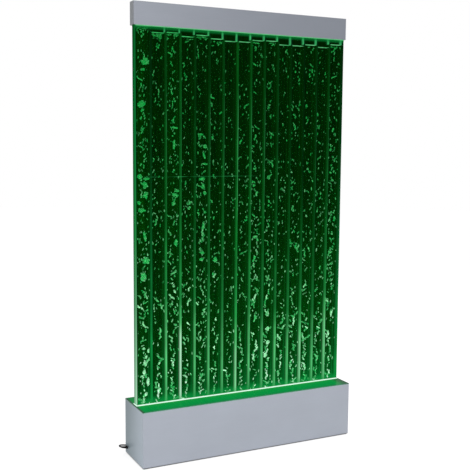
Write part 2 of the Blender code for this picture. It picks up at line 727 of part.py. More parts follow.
def make_lights(metal, board):
    """The two light strips that shine into the panel under the deck, and their carriers."""
    face = PANEL_DEPTH / 2 + LIGHT_STANDOFF
    top = DECK_BOTTOM - GAP
    half = PANEL_WIDTH / 2 - STRIP_INSET
    for name, side in (("front", -1), ("rear", 1)):
        angle = [
            (side * face, top),
            (side * (face + CARRIER_SHEET + CARRIER_FLANGE), top),
            (side * (face + CARRIER_SHEET + CARRIER_FLANGE), top - CARRIER_SHEET),
            (side * (face + CARRIER_SHEET), top - CARRIER_SHEET),
            (side * (face + CARRIER_SHEET), top - CARRIER_DROP),
            (side * face, top - CARRIER_DROP),
        ]
        prism(f"light_carrier_{name}", angle, "X", -half, half, metal)
        back = side * (face - GAP)
        front = side * (face - GAP - STRIP_THICKNESS)
        chip_face = side * (face - GAP - STRIP_THICKNESS - CHIP_HEIGHT)
        comb = [(-half, back), (-half, front)]
        spacing = 2 * half / CHIP_COUNT
        for i in range(CHIP_COUNT):
            middle = -half + (i + 0.5) * spacing
            comb.append((middle - CHIP_LENGTH / 2, front))
            comb.append((middle - CHIP_LENGTH / 2, chip_face))
            comb.append((middle + CHIP_LENGTH / 2, chip_face))
            comb.append((middle + CHIP_LENGTH / 2, front))
        comb.extend([(half, front), (half, back)])
        strip_low = top - CARRIER_DROP / 2 - STRIP_HEIGHT / 2
        prism(f"light_strip_{name}", comb, "Z", strip_low, strip_low + STRIP_HEIGHT, board)


def make_pumps(plastic, silicone):
    """Two air pumps under the cradle, each with the tube to its inlet."""
    low_z = PAN_TOP + GAP
    outlet_z = low_z + PUMP_OUTLET_HEIGHT
    stem_bottom = CRADLE_HEIGHT - INLET_DROP
    for name, side in (("left", -1), ("right", 1)):
        middle = side * PUMP_X
        low = (middle - PUMP_LENGTH / 2, -PUMP_DEPTH / 2, low_z)
        high = (middle + PUMP_LENGTH / 2, PUMP_DEPTH / 2, low_z + PUMP_HEIGHT)
        pump = box(f"air_pump_{name}", low, high, plastic, PUMP_CHAMFER)
        end = middle + side * PUMP_LENGTH / 2
        tip = end + side * PUMP_OUTLET_LENGTH
        outlet = circle(TUBE_RADIUS, (0, outlet_z), SMALL_SIDES)
        root = end - side * OVERRUN
        join(pump, prism(f"pump_outlet_{name}", outlet, "X", min(root, tip), max(root, tip), None))
        start = Vector((tip + side * GAP, 0, outlet_z))
        finish_at = Vector((side * INLET_X, 0, stem_bottom - GAP))
        points = bent_run(start, Vector((side, 0, 0)), finish_at, Vector((0, 0, 1)), TUBE_RADIUS)
        tube(f"air_tube_{name}", points, TUBE_RADIUS, THIN_TUBE_BEVEL_STEPS, silicone)


def make_electrics(plastic, black):
    """The power supply and the light controller, on the pan behind the cradle."""
    low_z = PAN_TOP + GAP
    far_y = REAR_WALL_INSIDE - HOUSING_FROM_REAR
    length, depth, height = SUPPLY_SIZE
    low_x = SUPPLY_FROM_END - BASE_WIDTH / 2
    supply_low = (low_x, far_y - depth, low_z)
    supply_high = (low_x + length, far_y, low_z + height)
    box("power_supply", supply_low, supply_high, plastic, HOUSING_CHAMFER)
    start = Vector((-END_WALL_INSIDE + RELIEF_SHANK_LENGTH + GAP, EXIT.y, EXIT_HEIGHT))
    end = Vector((low_x - GAP, far_y - depth / 2, low_z + height / 2))
    along = Vector((1, 0, 0))
    points = bent_run(start, along, end, along, LEAD_RADIUS)
    tube("inner_lead", points, LEAD_RADIUS, THIN_TUBE_BEVEL_STEPS, black)
    length, depth, height = CONTROLLER_SIZE
    high_x = BASE_WIDTH / 2 - CONTROLLER_FROM_END
    controller_low = (high_x - length, far_y - depth, low_z)
    controller_high = (high_x, far_y, low_z + height)
    box("light_controller", controller_low, controller_high, plastic, HOUSING_CHAMFER)


def make_door(metal, steel):
    """The rear service door with its rolled knuckle, the fixed hinge leaf, the pin and the latch."""
    near = REAR_WALL_OUTSIDE + GAP
    axis_y = near + KNUCKLE_RADIUS
    low_x = DOOR_CENTRE_X - OPENING_WIDTH / 2 - DOOR_OVERLAP
    high_x = DOOR_CENTRE_X + OPENING_WIDTH / 2 + DOOR_OVERLAP
    axis_x = high_x + KNUCKLE_RADIUS + KNUCKLE_CLEARANCE
    half_height = OPENING_HEIGHT / 2 + DOOR_OVERLAP
    low = (low_x, near, DOOR_CENTRE_HEIGHT - half_height)
    high = (high_x, near + DOOR_SHEET, DOOR_CENTRE_HEIGHT + half_height)
    door = box("service_door", low, high, metal, EDGE_CHAMFER)
    knuckle = circle(KNUCKLE_RADIUS, (axis_x, axis_y), SMALL_SIDES)
    bore = circle(PIN_RADIUS + PIN_CLEARANCE, (axis_x, axis_y), SMALL_SIDES)
    knuckle_low = DOOR_CENTRE_HEIGHT - KNUCKLE_LENGTH / 2
    knuckle_high = DOOR_CENTRE_HEIGHT + KNUCKLE_LENGTH / 2
    tab_low = (high_x - DOOR_SHEET, near, knuckle_low)
    tab_high = (axis_x, near + DOOR_SHEET, knuckle_high)
    join(door, box("door_tab", tab_low, tab_high, None))
    join(door, prism("door_knuckle", knuckle, "Z", knuckle_low, knuckle_high, None))
    hinge_low = DOOR_CENTRE_HEIGHT - HINGE_HEIGHT / 2
    hinge_high = DOOR_CENTRE_HEIGHT + HINGE_HEIGHT / 2
    cut(door, prism("door_bore", bore, "Z", hinge_low, hinge_high, None))
    latch_x = low_x + DOOR_OVERLAP + LATCH_FROM_EDGE
    shaft_hole = circle(LATCH_SHAFT_RADIUS + GAP, (latch_x, DOOR_CENTRE_HEIGHT))
    cut(door, prism("latch_hole", shaft_hole, "Y", near - OVERRUN, near + DOOR_SHEET + OVERRUN, None))
    flange_low_x = axis_x + KNUCKLE_RADIUS + KNUCKLE_CLEARANCE
    leaf_low = (flange_low_x, near, hinge_low)
    leaf_high = (flange_low_x + HINGE_FLANGE, near + HINGE_SHEET, hinge_high)
    leaf = box("door_hinge_leaf", leaf_low, leaf_high, steel)
    ends = ((hinge_low, knuckle_low - GAP), (knuckle_high + GAP, hinge_high))
    for index, (bottom, top) in enumerate(ends):
        arm_low = (axis_x, near, bottom)
        arm_high = (flange_low_x + HINGE_SHEET, near + HINGE_SHEET, top)
        join(leaf, box(f"leaf_arm_{index}", arm_low, arm_high, None))
        join(leaf, prism(f"leaf_knuckle_{index}", knuckle, "Z", bottom, top, None))
    cut(leaf, prism("leaf_bore", bore, "Z", hinge_low - OVERRUN, hinge_high + OVERRUN, None))
    pin = circle(PIN_RADIUS, (axis_x, axis_y), SMALL_SIDES)
    prism("hinge_pin", pin, "Z", hinge_low, hinge_high, steel, smooth=True)
    door_axis = carried_by("door_axis", (axis_x, axis_y, DOOR_CENTRE_HEIGHT), [door])
    make_latch(latch_x, near + DOOR_SHEET + GAP, steel, door_axis)


def make_latch(latch_x, near, steel, door_axis):
    """A quarter-turn knob on the door, with the cam that catches behind the rear wall."""
    centre = (latch_x, DOOR_CENTRE_HEIGHT)
    knob_outline = circle(LATCH_KNOB_RADIUS, centre)
    knob = prism("latch_knob", knob_outline, "Y", near, near + LATCH_KNOB_THICKNESS, steel, smooth=True)
    cam_high_y = REAR_WALL_INSIDE - CAM_BEHIND_WALL
    cam_low_y = cam_high_y - CAM_THICKNESS
    shaft = circle(LATCH_SHAFT_RADIUS, centre)
    join(knob, prism("latch_shaft", shaft, "Y", cam_low_y - GAP, near + LATCH_KNOB_THICKNESS / 2, None))
    groove_low = (
        latch_x - LATCH_GROOVE_WIDTH / 2,
        near + LATCH_KNOB_THICKNESS - LATCH_GROOVE_DEPTH,
        DOOR_CENTRE_HEIGHT - LATCH_KNOB_RADIUS - OVERRUN,
    )
    groove_high = (
        latch_x + LATCH_GROOVE_WIDTH / 2,
        near + LATCH_KNOB_THICKNESS + OVERRUN,
        DOOR_CENTRE_HEIGHT + LATCH_KNOB_RADIUS + OVERRUN,
    )
    cut(knob, box("knob_groove", groove_low, groove_high, None))
    radius = CAM_WIDTH / 2
    low_end = DOOR_CENTRE_HEIGHT - (LATCH_FROM_EDGE + CAM_REACH - radius)
    outline = []
    for first_turn, end_z in ((0, DOOR_CENTRE_HEIGHT), (math.pi, low_end)):
        for i in range(SMALL_SIDES + 1):
            turn = first_turn + math.pi * i / SMALL_SIDES
            outline.append((latch_x + radius * math.cos(turn), end_z + radius * math.sin(turn)))
    cam = prism("latch_cam", outline, "Y", cam_low_y, cam_high_y, steel)
    cam_hole = circle(LATCH_SHAFT_RADIUS + GAP, centre)
    cut(cam, prism("cam_hole", cam_hole, "Y", cam_low_y - OVERRUN, cam_high_y + OVERRUN, None))
    latch_axis = carried_by("latch_axis", (latch_x, near, DOOR_CENTRE_HEIGHT), [knob, cam])
    latch_axis.parent = door_axis
    latch_axis.matrix_parent_inverse = door_axis.matrix_world.inverted()


def make_switch(black):
    """A rocker switch in the rear wall, shown pressed in at its top."""
    middle_x = SWITCH_FROM_LEFT - BASE_WIDTH / 2
    near = REAR_WALL_OUTSIDE + GAP
    face = near + BEZEL_THICKNESS
    half_x = BEZEL_WIDTH / 2
    half_z = BEZEL_HEIGHT / 2
    bezel_low = (middle_x - half_x, near, SWITCH_HEIGHT - half_z)
    bezel_high = (middle_x + half_x, face, SWITCH_HEIGHT + half_z)
    frame = box("switch_frame", bezel_low, bezel_high, black, EDGE_CHAMFER)
    body_x = half_x - BEZEL_RIM
    body_z = half_z - BEZEL_RIM
    body_low = (middle_x - body_x, near - SWITCH_BODY_DEPTH, SWITCH_HEIGHT - body_z)
    body_high = (middle_x + body_x, near + BEZEL_THICKNESS / 2, SWITCH_HEIGHT + body_z)
    join(frame, box("switch_body", body_low, body_high, None))
    pocket_x = body_x - POCKET_RIM
    pocket_z = body_z - POCKET_RIM
    pocket_low = (middle_x - pocket_x, face - POCKET_DEPTH, SWITCH_HEIGHT - pocket_z)
    pocket_high = (middle_x + pocket_x, face + OVERRUN, SWITCH_HEIGHT + pocket_z)
    cut(frame, box("switch_pocket", pocket_low, pocket_high, None))
    pivot_y = face - ROCKER_PIVOT_DEPTH
    end_z = pocket_z - ROCKER_END_CLEARANCE
    outline = [
        (-ROCKER_BACK_DEPTH, -ROCKER_BACK_HALF),
        (ROCKER_END_RISE, -end_z),
        (ROCKER_END_RISE - ROCKER_DIP, 0),
        (ROCKER_END_RISE, end_z),
        (-ROCKER_BACK_DEPTH, ROCKER_BACK_HALF),
    ]
    tilt = math.radians(ROCKER_TILT_DEGREES)
    turned = []
    for out, up in outline:
        turned_out = out * math.cos(tilt) - up * math.sin(tilt)
        turned_up = out * math.sin(tilt) + up * math.cos(tilt)
        turned.append((pivot_y + turned_out, SWITCH_HEIGHT + turned_up))
    rocker_x = pocket_x - ROCKER_SIDE_CLEARANCE
    rocker = prism("switch_rocker", turned, "X", middle_x - rocker_x, middle_x + rocker_x, black)
    carried_by("rocker_axis", (middle_x, pivot_y, SWITCH_HEIGHT), [rocker])


def make_lead(black):
    """The strain relief and the lead from the left wall to the coil behind the base."""
    route = [EXIT + Vector(point) for point in LEAD_ROUTE]
    route.append(COIL_START - Vector((LEAD_DIAMETER + GAP, 0, 0)))
    line = smooth_points(route)
    whole = length_of(line)
    relief_line = square_ended(line, RELIEF_COLLAR_LENGTH, RELIEF_LENGTH, LEAD_RADIUS)
    inner_x = RELIEF_SHANK_LENGTH - END_WALL_INSIDE
    at_exit = Vector((0, EXIT.y, EXIT_HEIGHT))
    outside_x = EXIT.x - GAP
    stations = [
        (at_exit + Vector((inner_x, 0, 0)), RELIEF_SHANK_RADIUS),
        (at_exit + Vector((outside_x + GAP / 2, 0, 0)), RELIEF_SHANK_RADIUS),
        (at_exit + Vector((outside_x, 0, 0)), RELIEF_COLLAR_RADIUS),
        (at_exit + Vector((outside_x - RELIEF_COLLAR_LENGTH, 0, 0)), RELIEF_COLLAR_RADIUS),
    ]
    taper = RELIEF_TIP_RADIUS - RELIEF_ROOT_RADIUS
    for i, point in enumerate(relief_line[1:]):
        share = i / (len(relief_line) - 2)
        stations.append((point, RELIEF_ROOT_RADIUS + taper * share))
    points = [place for place, _ in stations]
    shares = [radius / RELIEF_SHANK_RADIUS for _, radius in stations]
    tube("strain_relief", points, RELIEF_SHANK_RADIUS, RELIEF_BEVEL_STEPS, black, shares)
    lead_line = square_ended(line, RELIEF_LENGTH + GAP, whole, LEAD_SPACING)
    tube("mains_lead", lead_line, LEAD_RADIUS, LEAD_BEVEL_STEPS, black)
    return length_of(lead_line)


def coil_points():
    """The coil's centreline: it winds in on the floor and out again on the layer above."""
    points = [COIL_START - Vector((LEAD_DIAMETER, 0, 0))]
    for i in range(COIL_TURNS * COIL_STEPS + 1):
        turn = i / COIL_STEPS
        radius = COIL_OUTER_RADIUS - COIL_PITCH * min(turn, COIL_TURNS - turn)
        climb = min(max((turn - COIL_TURNS / 2) / COIL_CLIMB_TURNS + 0.5, 0), 1)
        height = COIL_LOW + (COIL_HIGH - COIL_LOW) * climb * climb * (3 - 2 * climb)
        angle = 2 * math.pi * (turn - 0.25)
        x = COIL_CENTRE.x + radius * math.cos(angle)
        y = COIL_CENTRE.y + radius * math.sin(angle)
        points.append(Vector((x, y, height)))
    points.append(points[-1] + Vector((COIL_TAIL, 0, 0)))
    return points


def least_self_gap(points, diameter):
    """The least space between one turn of a tube and any other, measured on its points."""
    half_turn = COIL_STEPS // 2
    least = math.inf
    for i, point in enumerate(points):
        for other in points[i + half_turn:]:
            least = min(least, (other - point).length - diameter)
    return least


def make_coil(black, strap):
    """The spare lead wound into a two-layer coil, and the strap that ties it."""
    points = coil_points()
    tube("lead_coil", points, LEAD_RADIUS, COIL_BEVEL_STEPS, black)
    print(f"coil: least gap to itself {least_self_gap(points, LEAD_DIAMETER) * 1000:.2f} mm")
    inner_radius = COIL_OUTER_RADIUS - COIL_PITCH * (COIL_TURNS / 2 - 0.25)
    outer_radius = COIL_OUTER_RADIUS - COIL_PITCH * 0.25
    hole_low_x = COIL_CENTRE.x + inner_radius - LEAD_RADIUS - TIE_SIDE_CLEARANCE
    hole_high_x = COIL_CENTRE.x + outer_radius + LEAD_RADIUS + TIE_SIDE_CLEARANCE
    hole_high_z = COIL_HIGH + LEAD_RADIUS + GAP
    low = (hole_low_x - TIE_THICKNESS, COIL_CENTRE.y - TIE_WIDTH / 2, 0)
    high = (hole_high_x + TIE_THICKNESS, COIL_CENTRE.y + TIE_WIDTH / 2, hole_high_z + TIE_THICKNESS)
    tie = box("coil_tie", low, high, strap)
    hole_low = (hole_low_x, low[1] - OVERRUN, TIE_THICKNESS)
    cut(tie, box("tie_hole", hole_low, (hole_high_x, high[1] + OVERRUN, hole_high_z), None))
    return points


def make_plug(start, black, steel):
    """The moulded plug that lies beside the coil, with two flat blades."""
    half_height = start.z - GAP
    head = start.x + PLUG_BOOT_LENGTH + PLUG_SHOULDER
    head_end = head + PLUG_HEAD_LENGTH
    nose_end = head_end + PLUG_NOSE
    nose_width = PLUG_HEAD_HALF_WIDTH - PLUG_NOSE_STEP
    nose_height = half_height - PLUG_NOSE_STEP
    nose_corner = PLUG_CORNER_RADIUS - PLUG_NOSE_STEP
    levels = [
        (start.x + GAP, PLUG_BOOT_TIP_RADIUS, PLUG_BOOT_TIP_RADIUS, PLUG_BOOT_TIP_RADIUS),
        (start.x + PLUG_BOOT_LENGTH, PLUG_BOOT_ROOT_RADIUS, PLUG_BOOT_ROOT_RADIUS, PLUG_BOOT_ROOT_RADIUS),
        (head, PLUG_HEAD_HALF_WIDTH, half_height, PLUG_CORNER_RADIUS),
        (head_end, PLUG_HEAD_HALF_WIDTH, half_height, PLUG_CORNER_RADIUS),
        (nose_end, nose_width, nose_height, nose_corner),
    ]
    rings = []
    for x, half_a, half_b, corner in levels:
        outline = rounded_rectangle(half_a, half_b, corner, (start.y, start.z))
        rings.append([(x, a, b) for a, b in outline])
    plug = loft("plug", rings, black)
    for side in (-1, 1):
        blade_y = start.y + side * BLADE_SPACING / 2
        low = (nose_end - BLADE_ROOT, blade_y - BLADE_THICKNESS / 2, start.z - BLADE_HEIGHT / 2)
        high = (nose_end + BLADE_LENGTH, blade_y + BLADE_THICKNESS / 2, start.z + BLADE_HEIGHT / 2)
        join(plug, box(f"plug_blade_{side}", low, high, steel, EDGE_CHAMFER))


def build():
    clear_scene()
    silver = material("silver_sheet", (178, 183, 192), 0.35, metallic=0.6)
    deck_metal = material("deck_sheet", (170, 176, 184), 0.25, metallic=0.7)
    steel = material("steel", (160, 162, 165), 0.35, metallic=1.0)
    aluminium = material("aluminium", (190, 192, 195), 0.4, metallic=1.0)
    clear = material("clear_acrylic", (200, 240, 215), 0.05, transmission=0.9)
    dark = material("dark_acrylic", (4, 30, 12), 0.08)
    silicone = material("silicone", (150, 225, 180), 0.4)
    grey = material("grey_plastic", (120, 124, 126), 0.5)
    black = material("black_plastic", (24, 25, 27), 0.5)
    rubber = material("black_rubber", (20, 20, 21), 0.8)
    white_board = material("light_board", (225, 235, 228), 0.5)
    make_sheets(clear, dark)
    make_bars(clear)
    make_gallery(clear, grey)
    make_cap(silver, silicone, grey)
    make_shell(silver)
    make_deck(deck_metal, silicone)
    make_pan(steel, rubber)
    make_cradle(aluminium)
    make_lights(aluminium, white_board)
    make_pumps(black, silicone)
    make_electrics(grey, black)
    make_door(silver, steel)
    make_switch(black)
    lead_length = make_lead(rubber)
    coil = make_coil(rubber, black)
    make_plug(coil[-1], rubber, steel)
    print(f"lead: {lead_length:.3f} m to the coil, {length_of(coil):.3f} m in it and its ends")


build()
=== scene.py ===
"""The looks of the bubble wall: lit acrylic, water and bubbles, satin metal, and the mains lead.

Metres, +Z up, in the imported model's frame. +X runs along the panel and -Y is the front.
"""

import math
import random

import bmesh
import bpy
from mathutils import Matrix, Vector, noise


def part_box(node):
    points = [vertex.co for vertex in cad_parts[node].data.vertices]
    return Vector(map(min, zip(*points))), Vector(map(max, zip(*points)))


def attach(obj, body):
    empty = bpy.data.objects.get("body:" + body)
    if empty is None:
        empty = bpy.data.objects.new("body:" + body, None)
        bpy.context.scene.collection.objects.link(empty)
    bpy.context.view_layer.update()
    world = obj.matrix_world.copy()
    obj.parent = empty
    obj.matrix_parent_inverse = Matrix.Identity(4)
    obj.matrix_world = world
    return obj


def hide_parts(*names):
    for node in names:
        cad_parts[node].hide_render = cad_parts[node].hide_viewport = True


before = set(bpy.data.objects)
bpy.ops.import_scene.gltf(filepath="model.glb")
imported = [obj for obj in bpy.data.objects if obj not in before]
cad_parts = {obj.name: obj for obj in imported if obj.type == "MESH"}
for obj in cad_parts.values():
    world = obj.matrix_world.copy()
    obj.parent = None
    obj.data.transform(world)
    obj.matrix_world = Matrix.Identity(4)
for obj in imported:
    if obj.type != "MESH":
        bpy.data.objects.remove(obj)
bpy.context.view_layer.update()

# Camera, fitted to the photograph's corners
CAMERA_PLACE = Vector((-1.62676, -3.19925, 1.32582))
CAMERA_YAW_DEGREES = 26.4511
CAMERA_PITCH_DEGREES = 6.2455
CAMERA_ROLL_DEGREES = 0.4405
FOCAL_PIXELS = 830.87
PICTURE_PIXELS = 470
SENSOR_WIDTH_MM = 36
MM_PER_METRE = 1000

# Studio: the world's light on the object, the white floor, and the range that noise fills
WORLD_LIGHT = 0.42
FLOOR_GLOW = 0.80
FLOOR_RADIUS = 14
FLOOR_SIDES = 96
FLOOR_GREY = (0.5, 0.5, 0.5, 1)
FLOOR_SHADE_MARGINS = (-0.006, 0.001)
WHITE = (1, 1, 1, 1)
NOISE_LOW = 0.25
NOISE_HIGH = 0.75
# Lamps: name, place, target, size, and power in watts
LAMPS = (
    ("key", (0.2, -4.6, 2.4), (0, 0, 0.7), 2.4, 90),
    ("fill", (3.4, 3.2, 3.0), (0, 0, 0.9), 2.6, 60),
)

# Sizes read from the frame
PANEL_LOW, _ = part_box("front_sheet")
_, PANEL_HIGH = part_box("back_sheet")
BAR_LOW, BAR_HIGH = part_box("end_bar_left")
DECK_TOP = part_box("deck_plate")[1].z
CAP_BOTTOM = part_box("cap_shell")[0].z
CHANNEL_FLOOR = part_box("bottom_bar")[1].z
CHANNEL_COUNT = 15
BAR_THICKNESS = BAR_HIGH.x - BAR_LOW.x
CHANNEL_PITCH = (PANEL_HIGH.x - PANEL_LOW.x - BAR_THICKNESS) / CHANNEL_COUNT
FIRST_BAR_X = (BAR_LOW.x + BAR_HIGH.x) / 2
WATER_FRONT = BAR_LOW.y
WATER_BACK = BAR_HIGH.y
PANEL_FRONT = PANEL_LOW.y
PANEL_BACK = PANEL_HIGH.y
PANEL_HALF_WIDTH = (PANEL_HIGH.x - PANEL_LOW.x) / 2

# Water: how far each channel's surface lies below the cap's lower edge, from the left
WATER_DROPS = (0.003, 0.025, 0.021, 0.033, 0.0235, 0.034, 0.040, 0.0385,
               0.029, 0.027, 0.040, 0.0395, 0.032, 0.039, 0.024)
WATER_CLEARANCE = 0.0004
SEAM_HEIGHT = 1.190
MENISCUS_RISE = 0.0016
MENISCUS_REACH = 0.0030
WATER_STEPS_X = 16
WATER_STEPS_Y = 8
SHARP_EDGE_DEGREES = 50

# How strongly each bar glows near the foot and near the cap, from the left, end bars included
FOOT_SHARES = (0.05, 0.85, 1.0, 1.35, 0.95, 0.88, 0.78, 1.25, 0.83, 0.8, 1.08, 0.95, 1.2, 0.8, 1.05, 0.6)
UPPER_SHARES = (0.1, 0.55, 1.2, 1.3, 0.65, 0.8, 0.95, 1.8, 1.45, 1.0, 0.7, 0.45, 0.25, 0.45, 0.75, 0.43)
# How much higher than the rest each bar's foot light reaches, in metres
GLOW_RISES = (0.0, -0.05, 0.07, 0.06, 0.06, 0.02, 0.0, -0.04,
              0.01, -0.03, -0.04, -0.03, -0.02, -0.03, 0.06, 0.0)
# Bars that glow a deeper green than the rest
DEEP_GREEN_BARS = (1, 15)
# How pale each bar's core is at the foot
CORE_PALE_SHARES = (0.0, 0.0, 0.0, 0.6, 0.0, 0.0, 0.0, 0.2, 0.0, 0.0, 0.0, 0.0, 0.2, 0.0, 0.1, 0.0)

# How strong the painted highlight is, a thin pale line on each bar's front edge, high up
LINE_SHARES = (0.0, 0.0, 0.08, 0.06, 0.0, 0.1, 0.1, 0.42, 0.17, 0.14, 0.05, 0.0, 0.0, 0.06, 0.08, 0.0)
LINE_OFFSET = 0.0019
LINE_HALF_WIDTH = 0.0009
LINE_SOFT_EDGE = 0.0006
LINE_START_HEIGHTS = (0.9, 1.25)
LINE_END_HEIGHTS = (1.42, 1.6)

# Other sizes of the bars' light: pairs are where a change starts and where it is complete
FOOT_TO_UPPER_HEIGHTS = (0.45, 1.2)
CORE_END_HEIGHTS = (0.44, 0.52)
BAR_FRONT_Y = (WATER_FRONT + 0.0002, WATER_FRONT + 0.0008)
BAR_GLOW_Y = (WATER_FRONT, WATER_FRONT + 0.022)
BAR_GLOW_SHARE = 0.75
WET_EDGE = 0.002
# The film of light on a bar's sides above the water: faint at the front, full at one depth, faint behind
FILM_FULL_Y = -0.006
FILM_FRONT_SHARE = 0.1
FILM_REAR_SHARE = 0.2
FILM_EDGE_SHARE = 0.3
# The panel's end faces: how far out they are, and how bright at the rear
END_FACE_X = (PANEL_HALF_WIDTH - 0.0008, PANEL_HALF_WIDTH - 0.0005)
END_REAR_SHARE = 0.55

# Painted light from the foot, as a haze in the water above the deck: a near band with a cloudy edge and
# faint clouds above it
NEAR_HAZE_START = DECK_TOP - 0.004
NEAR_HAZE_TOPS = (DECK_TOP + 0.022, DECK_TOP + 0.046)
NEAR_HAZE_SHARE = 0.95
FAR_HAZE_TOPS = (DECK_TOP + 0.09, DECK_TOP + 0.17)
FAR_HAZE_SHARE = 0.34
FAR_HAZE_SPAN_X = (-0.3, 0.4)

# Front sheet: the bright line at its foot, the haze over it, the glow under the cap and a faint seam,
# painted as a line of green light
SHEET_SKIN_Y = (PANEL_FRONT + 0.0010, PANEL_FRONT + 0.0012)
FOOT_LINE_HEIGHTS = (DECK_TOP + 0.0034, DECK_TOP + 0.0054)
FRONT_HAZE_HEIGHTS = (DECK_TOP, DECK_TOP + 0.036)
FRONT_HAZE_SHARE = 0.55
CAP_GLOW_HEIGHTS = (CAP_BOTTOM - 0.020, CAP_BOTTOM - 0.003)
CAP_GLOW_SHARE = 0.75
CAP_INSIDE_HEIGHTS = (CAP_BOTTOM, CAP_BOTTOM + 0.02)
CAP_INSIDE_SHARE = 0.35
SEAM_HALF_HEIGHT = 0.0014
SEAM_START_X = (-0.36, -0.28)
SEAM_START_SHARE = 0.5
SEAM_END_X = (-0.06, 0.1)
SEAM_LEAST_SHARE = 0.01
# How clear the sheet is elsewhere, and how its colour comes in
CLEAR_BLEND_SHARE = 0.06
FRONT_END_SHARE = 1.08
SHEET_LEAST_ALPHA = 0.012

# Back sheet: how its light changes from the left end to the right one, low down and high up
BACK_SPAN_X = (-0.45, 0.45)
BACK_LOW_SHARES = (0.8, 1.15)
BACK_HIGH_SHARES = (1.0, 0.87)
BACK_HEIGHTS = (0.75, 1.15)
LEFT_BACK_SPAN_X = (PANEL_LOW.x + 0.03, PANEL_LOW.x + 0.075)
LEFT_BACK_HEIGHTS = (0.75, 0.95)
LEFT_BACK_SHARES = (1.3, 2.0)
# The channel whose back is a little brighter than the others', high up
HAZY_CHANNEL = 2
HAZY_HEIGHTS = (0.7, 1.0)
HAZY_SHARE = 1.5
HAZY_HALF_WIDTHS = (CHANNEL_PITCH * 0.42, CHANNEL_PITCH * 0.5)
HALO_WIDTHS = (0.003, 0.013)
BACK_END_SHARE = 0.55
BACK_SKIN_Y = (PANEL_BACK - 0.0012, PANEL_BACK - 0.0006)
BACK_REAR_SHARE = 0.06
BACK_REAR_GLOSS = 0.5

# The water's surface, paler towards the right, and the deck's painted light, darker at the rear and the
# right end as painted shade
PALE_SURFACE_SPAN_X = (-0.35, 0.05)
DECK_REAR_SPAN_Y = (0.02, 0.06)
DECK_REAR_SHARE = 0.8
DECK_END_X = (PANEL_HALF_WIDTH - 0.004, PANEL_HALF_WIDTH + 0.002)
DECK_RIGHT_SPAN_X = (0.44, 0.49)
DECK_RIGHT_SHARE = 0.75

# Satin metal, with the deck's light on its upper edge and shade at the floor
SATIN_METALLIC = 0.2
SATIN_ROUGHNESSES = (0.37, 0.47)
METAL_RELIEF = 0.00001
END_WALL_DEPTH = 0.001
SPILL_HEIGHTS = (DECK_TOP - 0.007, DECK_TOP - 0.002)
FLOOR_SHADE_HEIGHTS = (0.004, 0.008)
FLOOR_SHADE_SHARE = 0.55

# Moulded and plated pieces
MOULDED_RELIEF = 0.00006
MOULDED_PALER_SHARE = 1.12
MOULDED_PALER_STEP = 2
MOULDED_ROUGHNESS_SPREAD = 0.08
PLATED_DARKER_SHARE = 0.86
PLATED_SMOOTHER = 0.08
PLATED_ROUGHER = 0.1

# Bubbles: where they may lie, and how deep they are for their width
BUBBLE_SEED = 700
BUBBLE_SIDE_CLEARANCE = 0.001
BUBBLE_TOP_CLEARANCE = 0.002
BUBBLE_DEPTH_SHARE = 1.1
BUBBLE_DEEPEST = 0.008
BUBBLE_DEPTH_MARGIN = 0.005
BUBBLE_SKEW_SHARE = 0.3
# How far the palest bubbles stand out, and how bright a bubble is underneath and on top
BUBBLE_WHITE_POWER = 1.35
BUBBLE_SIDE_SHARES = (1.12, 0.72)
BALL_FINENESS = (2, 3)
# Half the width from which a bubble gets the finer of the two balls and an uneven outline
LARGE_WIDTH = 0.0045
# The hollows in that outline
LUMP_DEPTH_SHARE = 0.7
LUMPS_ACROSS = 1.8
LUMP_LEVEL = 0.42
LUMP_SHIFT = 1000
# How thickly each channel is filled with bubbles, from the left
CHANNEL_SHARES = (1.9, 0.7, 1.35, 0.8, 1.15, 0.7, 0.4, 0.5, 1.3, 1.3, 0.7, 0.85, 1.1, 0.7, 1.5)
# How thickly loose bubbles lie at each height
CROWDING = ((0.24, 0.50), (0.50, 0.65), (0.75, 0.95), (0.95, 1.25),
            (1.25, 1.1), (1.50, 0.8), (1.79, 0.85))

# Fine bubbles: sizes are half widths, leans are radians, and a power is a bubble's brightness
SPECKS_PER_METRE = 88
SPECK_EVEN_SHARE = 0.65
SPECK_WIDTHS = (0.0014, 0.0025)
SPECK_TALL_SHARES = (1.5, 3.3)
SPECK_LEAN_AND_SPREAD = (0.1, 0.35)
SPECK_WHITE_SHARES = (0.0, 0.85)
SPECK_POWERS = (0.4, 1.05)

# Chains of blobs, some with a dim blob behind them as a painted halo of light
CHAIN_COUNTS = (2, 5)
CHAIN_WIDE_SHARES = (0.55, 1.3)
CHAIN_TALL_SHARES = (1.0, 2.3)
CHAIN_SCATTER_SHARE = 0.5
CHAIN_STEP_SHARE = 1.3
CHAIN_POWER_SHARES = (0.8, 1.1)
CHAIN_MOST_LEAN = 1.2
DIM_BLOB_BEHIND = 0.004
DIM_WIDE_SHARE = 1.7
DIM_TALL_SHARE = 1.35
DIM_POWERS = (0.3, 0.5)

# Clusters, which are chains or loose patches, and keep nearer the middle in the fuller channels
CLUSTERS_PER_METRE = 15
CLUSTER_SIZES = (0.0018, 0.0030)
CLUSTER_BEND = 0.9
CLUSTER_WALL_GAP = 0.008
CLUSTER_SPREAD_SHARE = 1.25
CLUSTER_NARROWING_SHARE = 0.4
CLUSTER_WHITE_SHARE = 0.3
CLUSTER_POWERS = (0.65, 1.15)
PATCH_SHARE = 0.2
PATCH_COUNTS = (3, 6)
PATCH_SIZE_SHARE = 1.35
PATCH_WIDE_SHARES = (0.6, 1.2)
PATCH_TALL_SHARES = (0.9, 1.7)
PATCH_RISE_SHARE = 2.5
PATCH_LEAN = 0.7

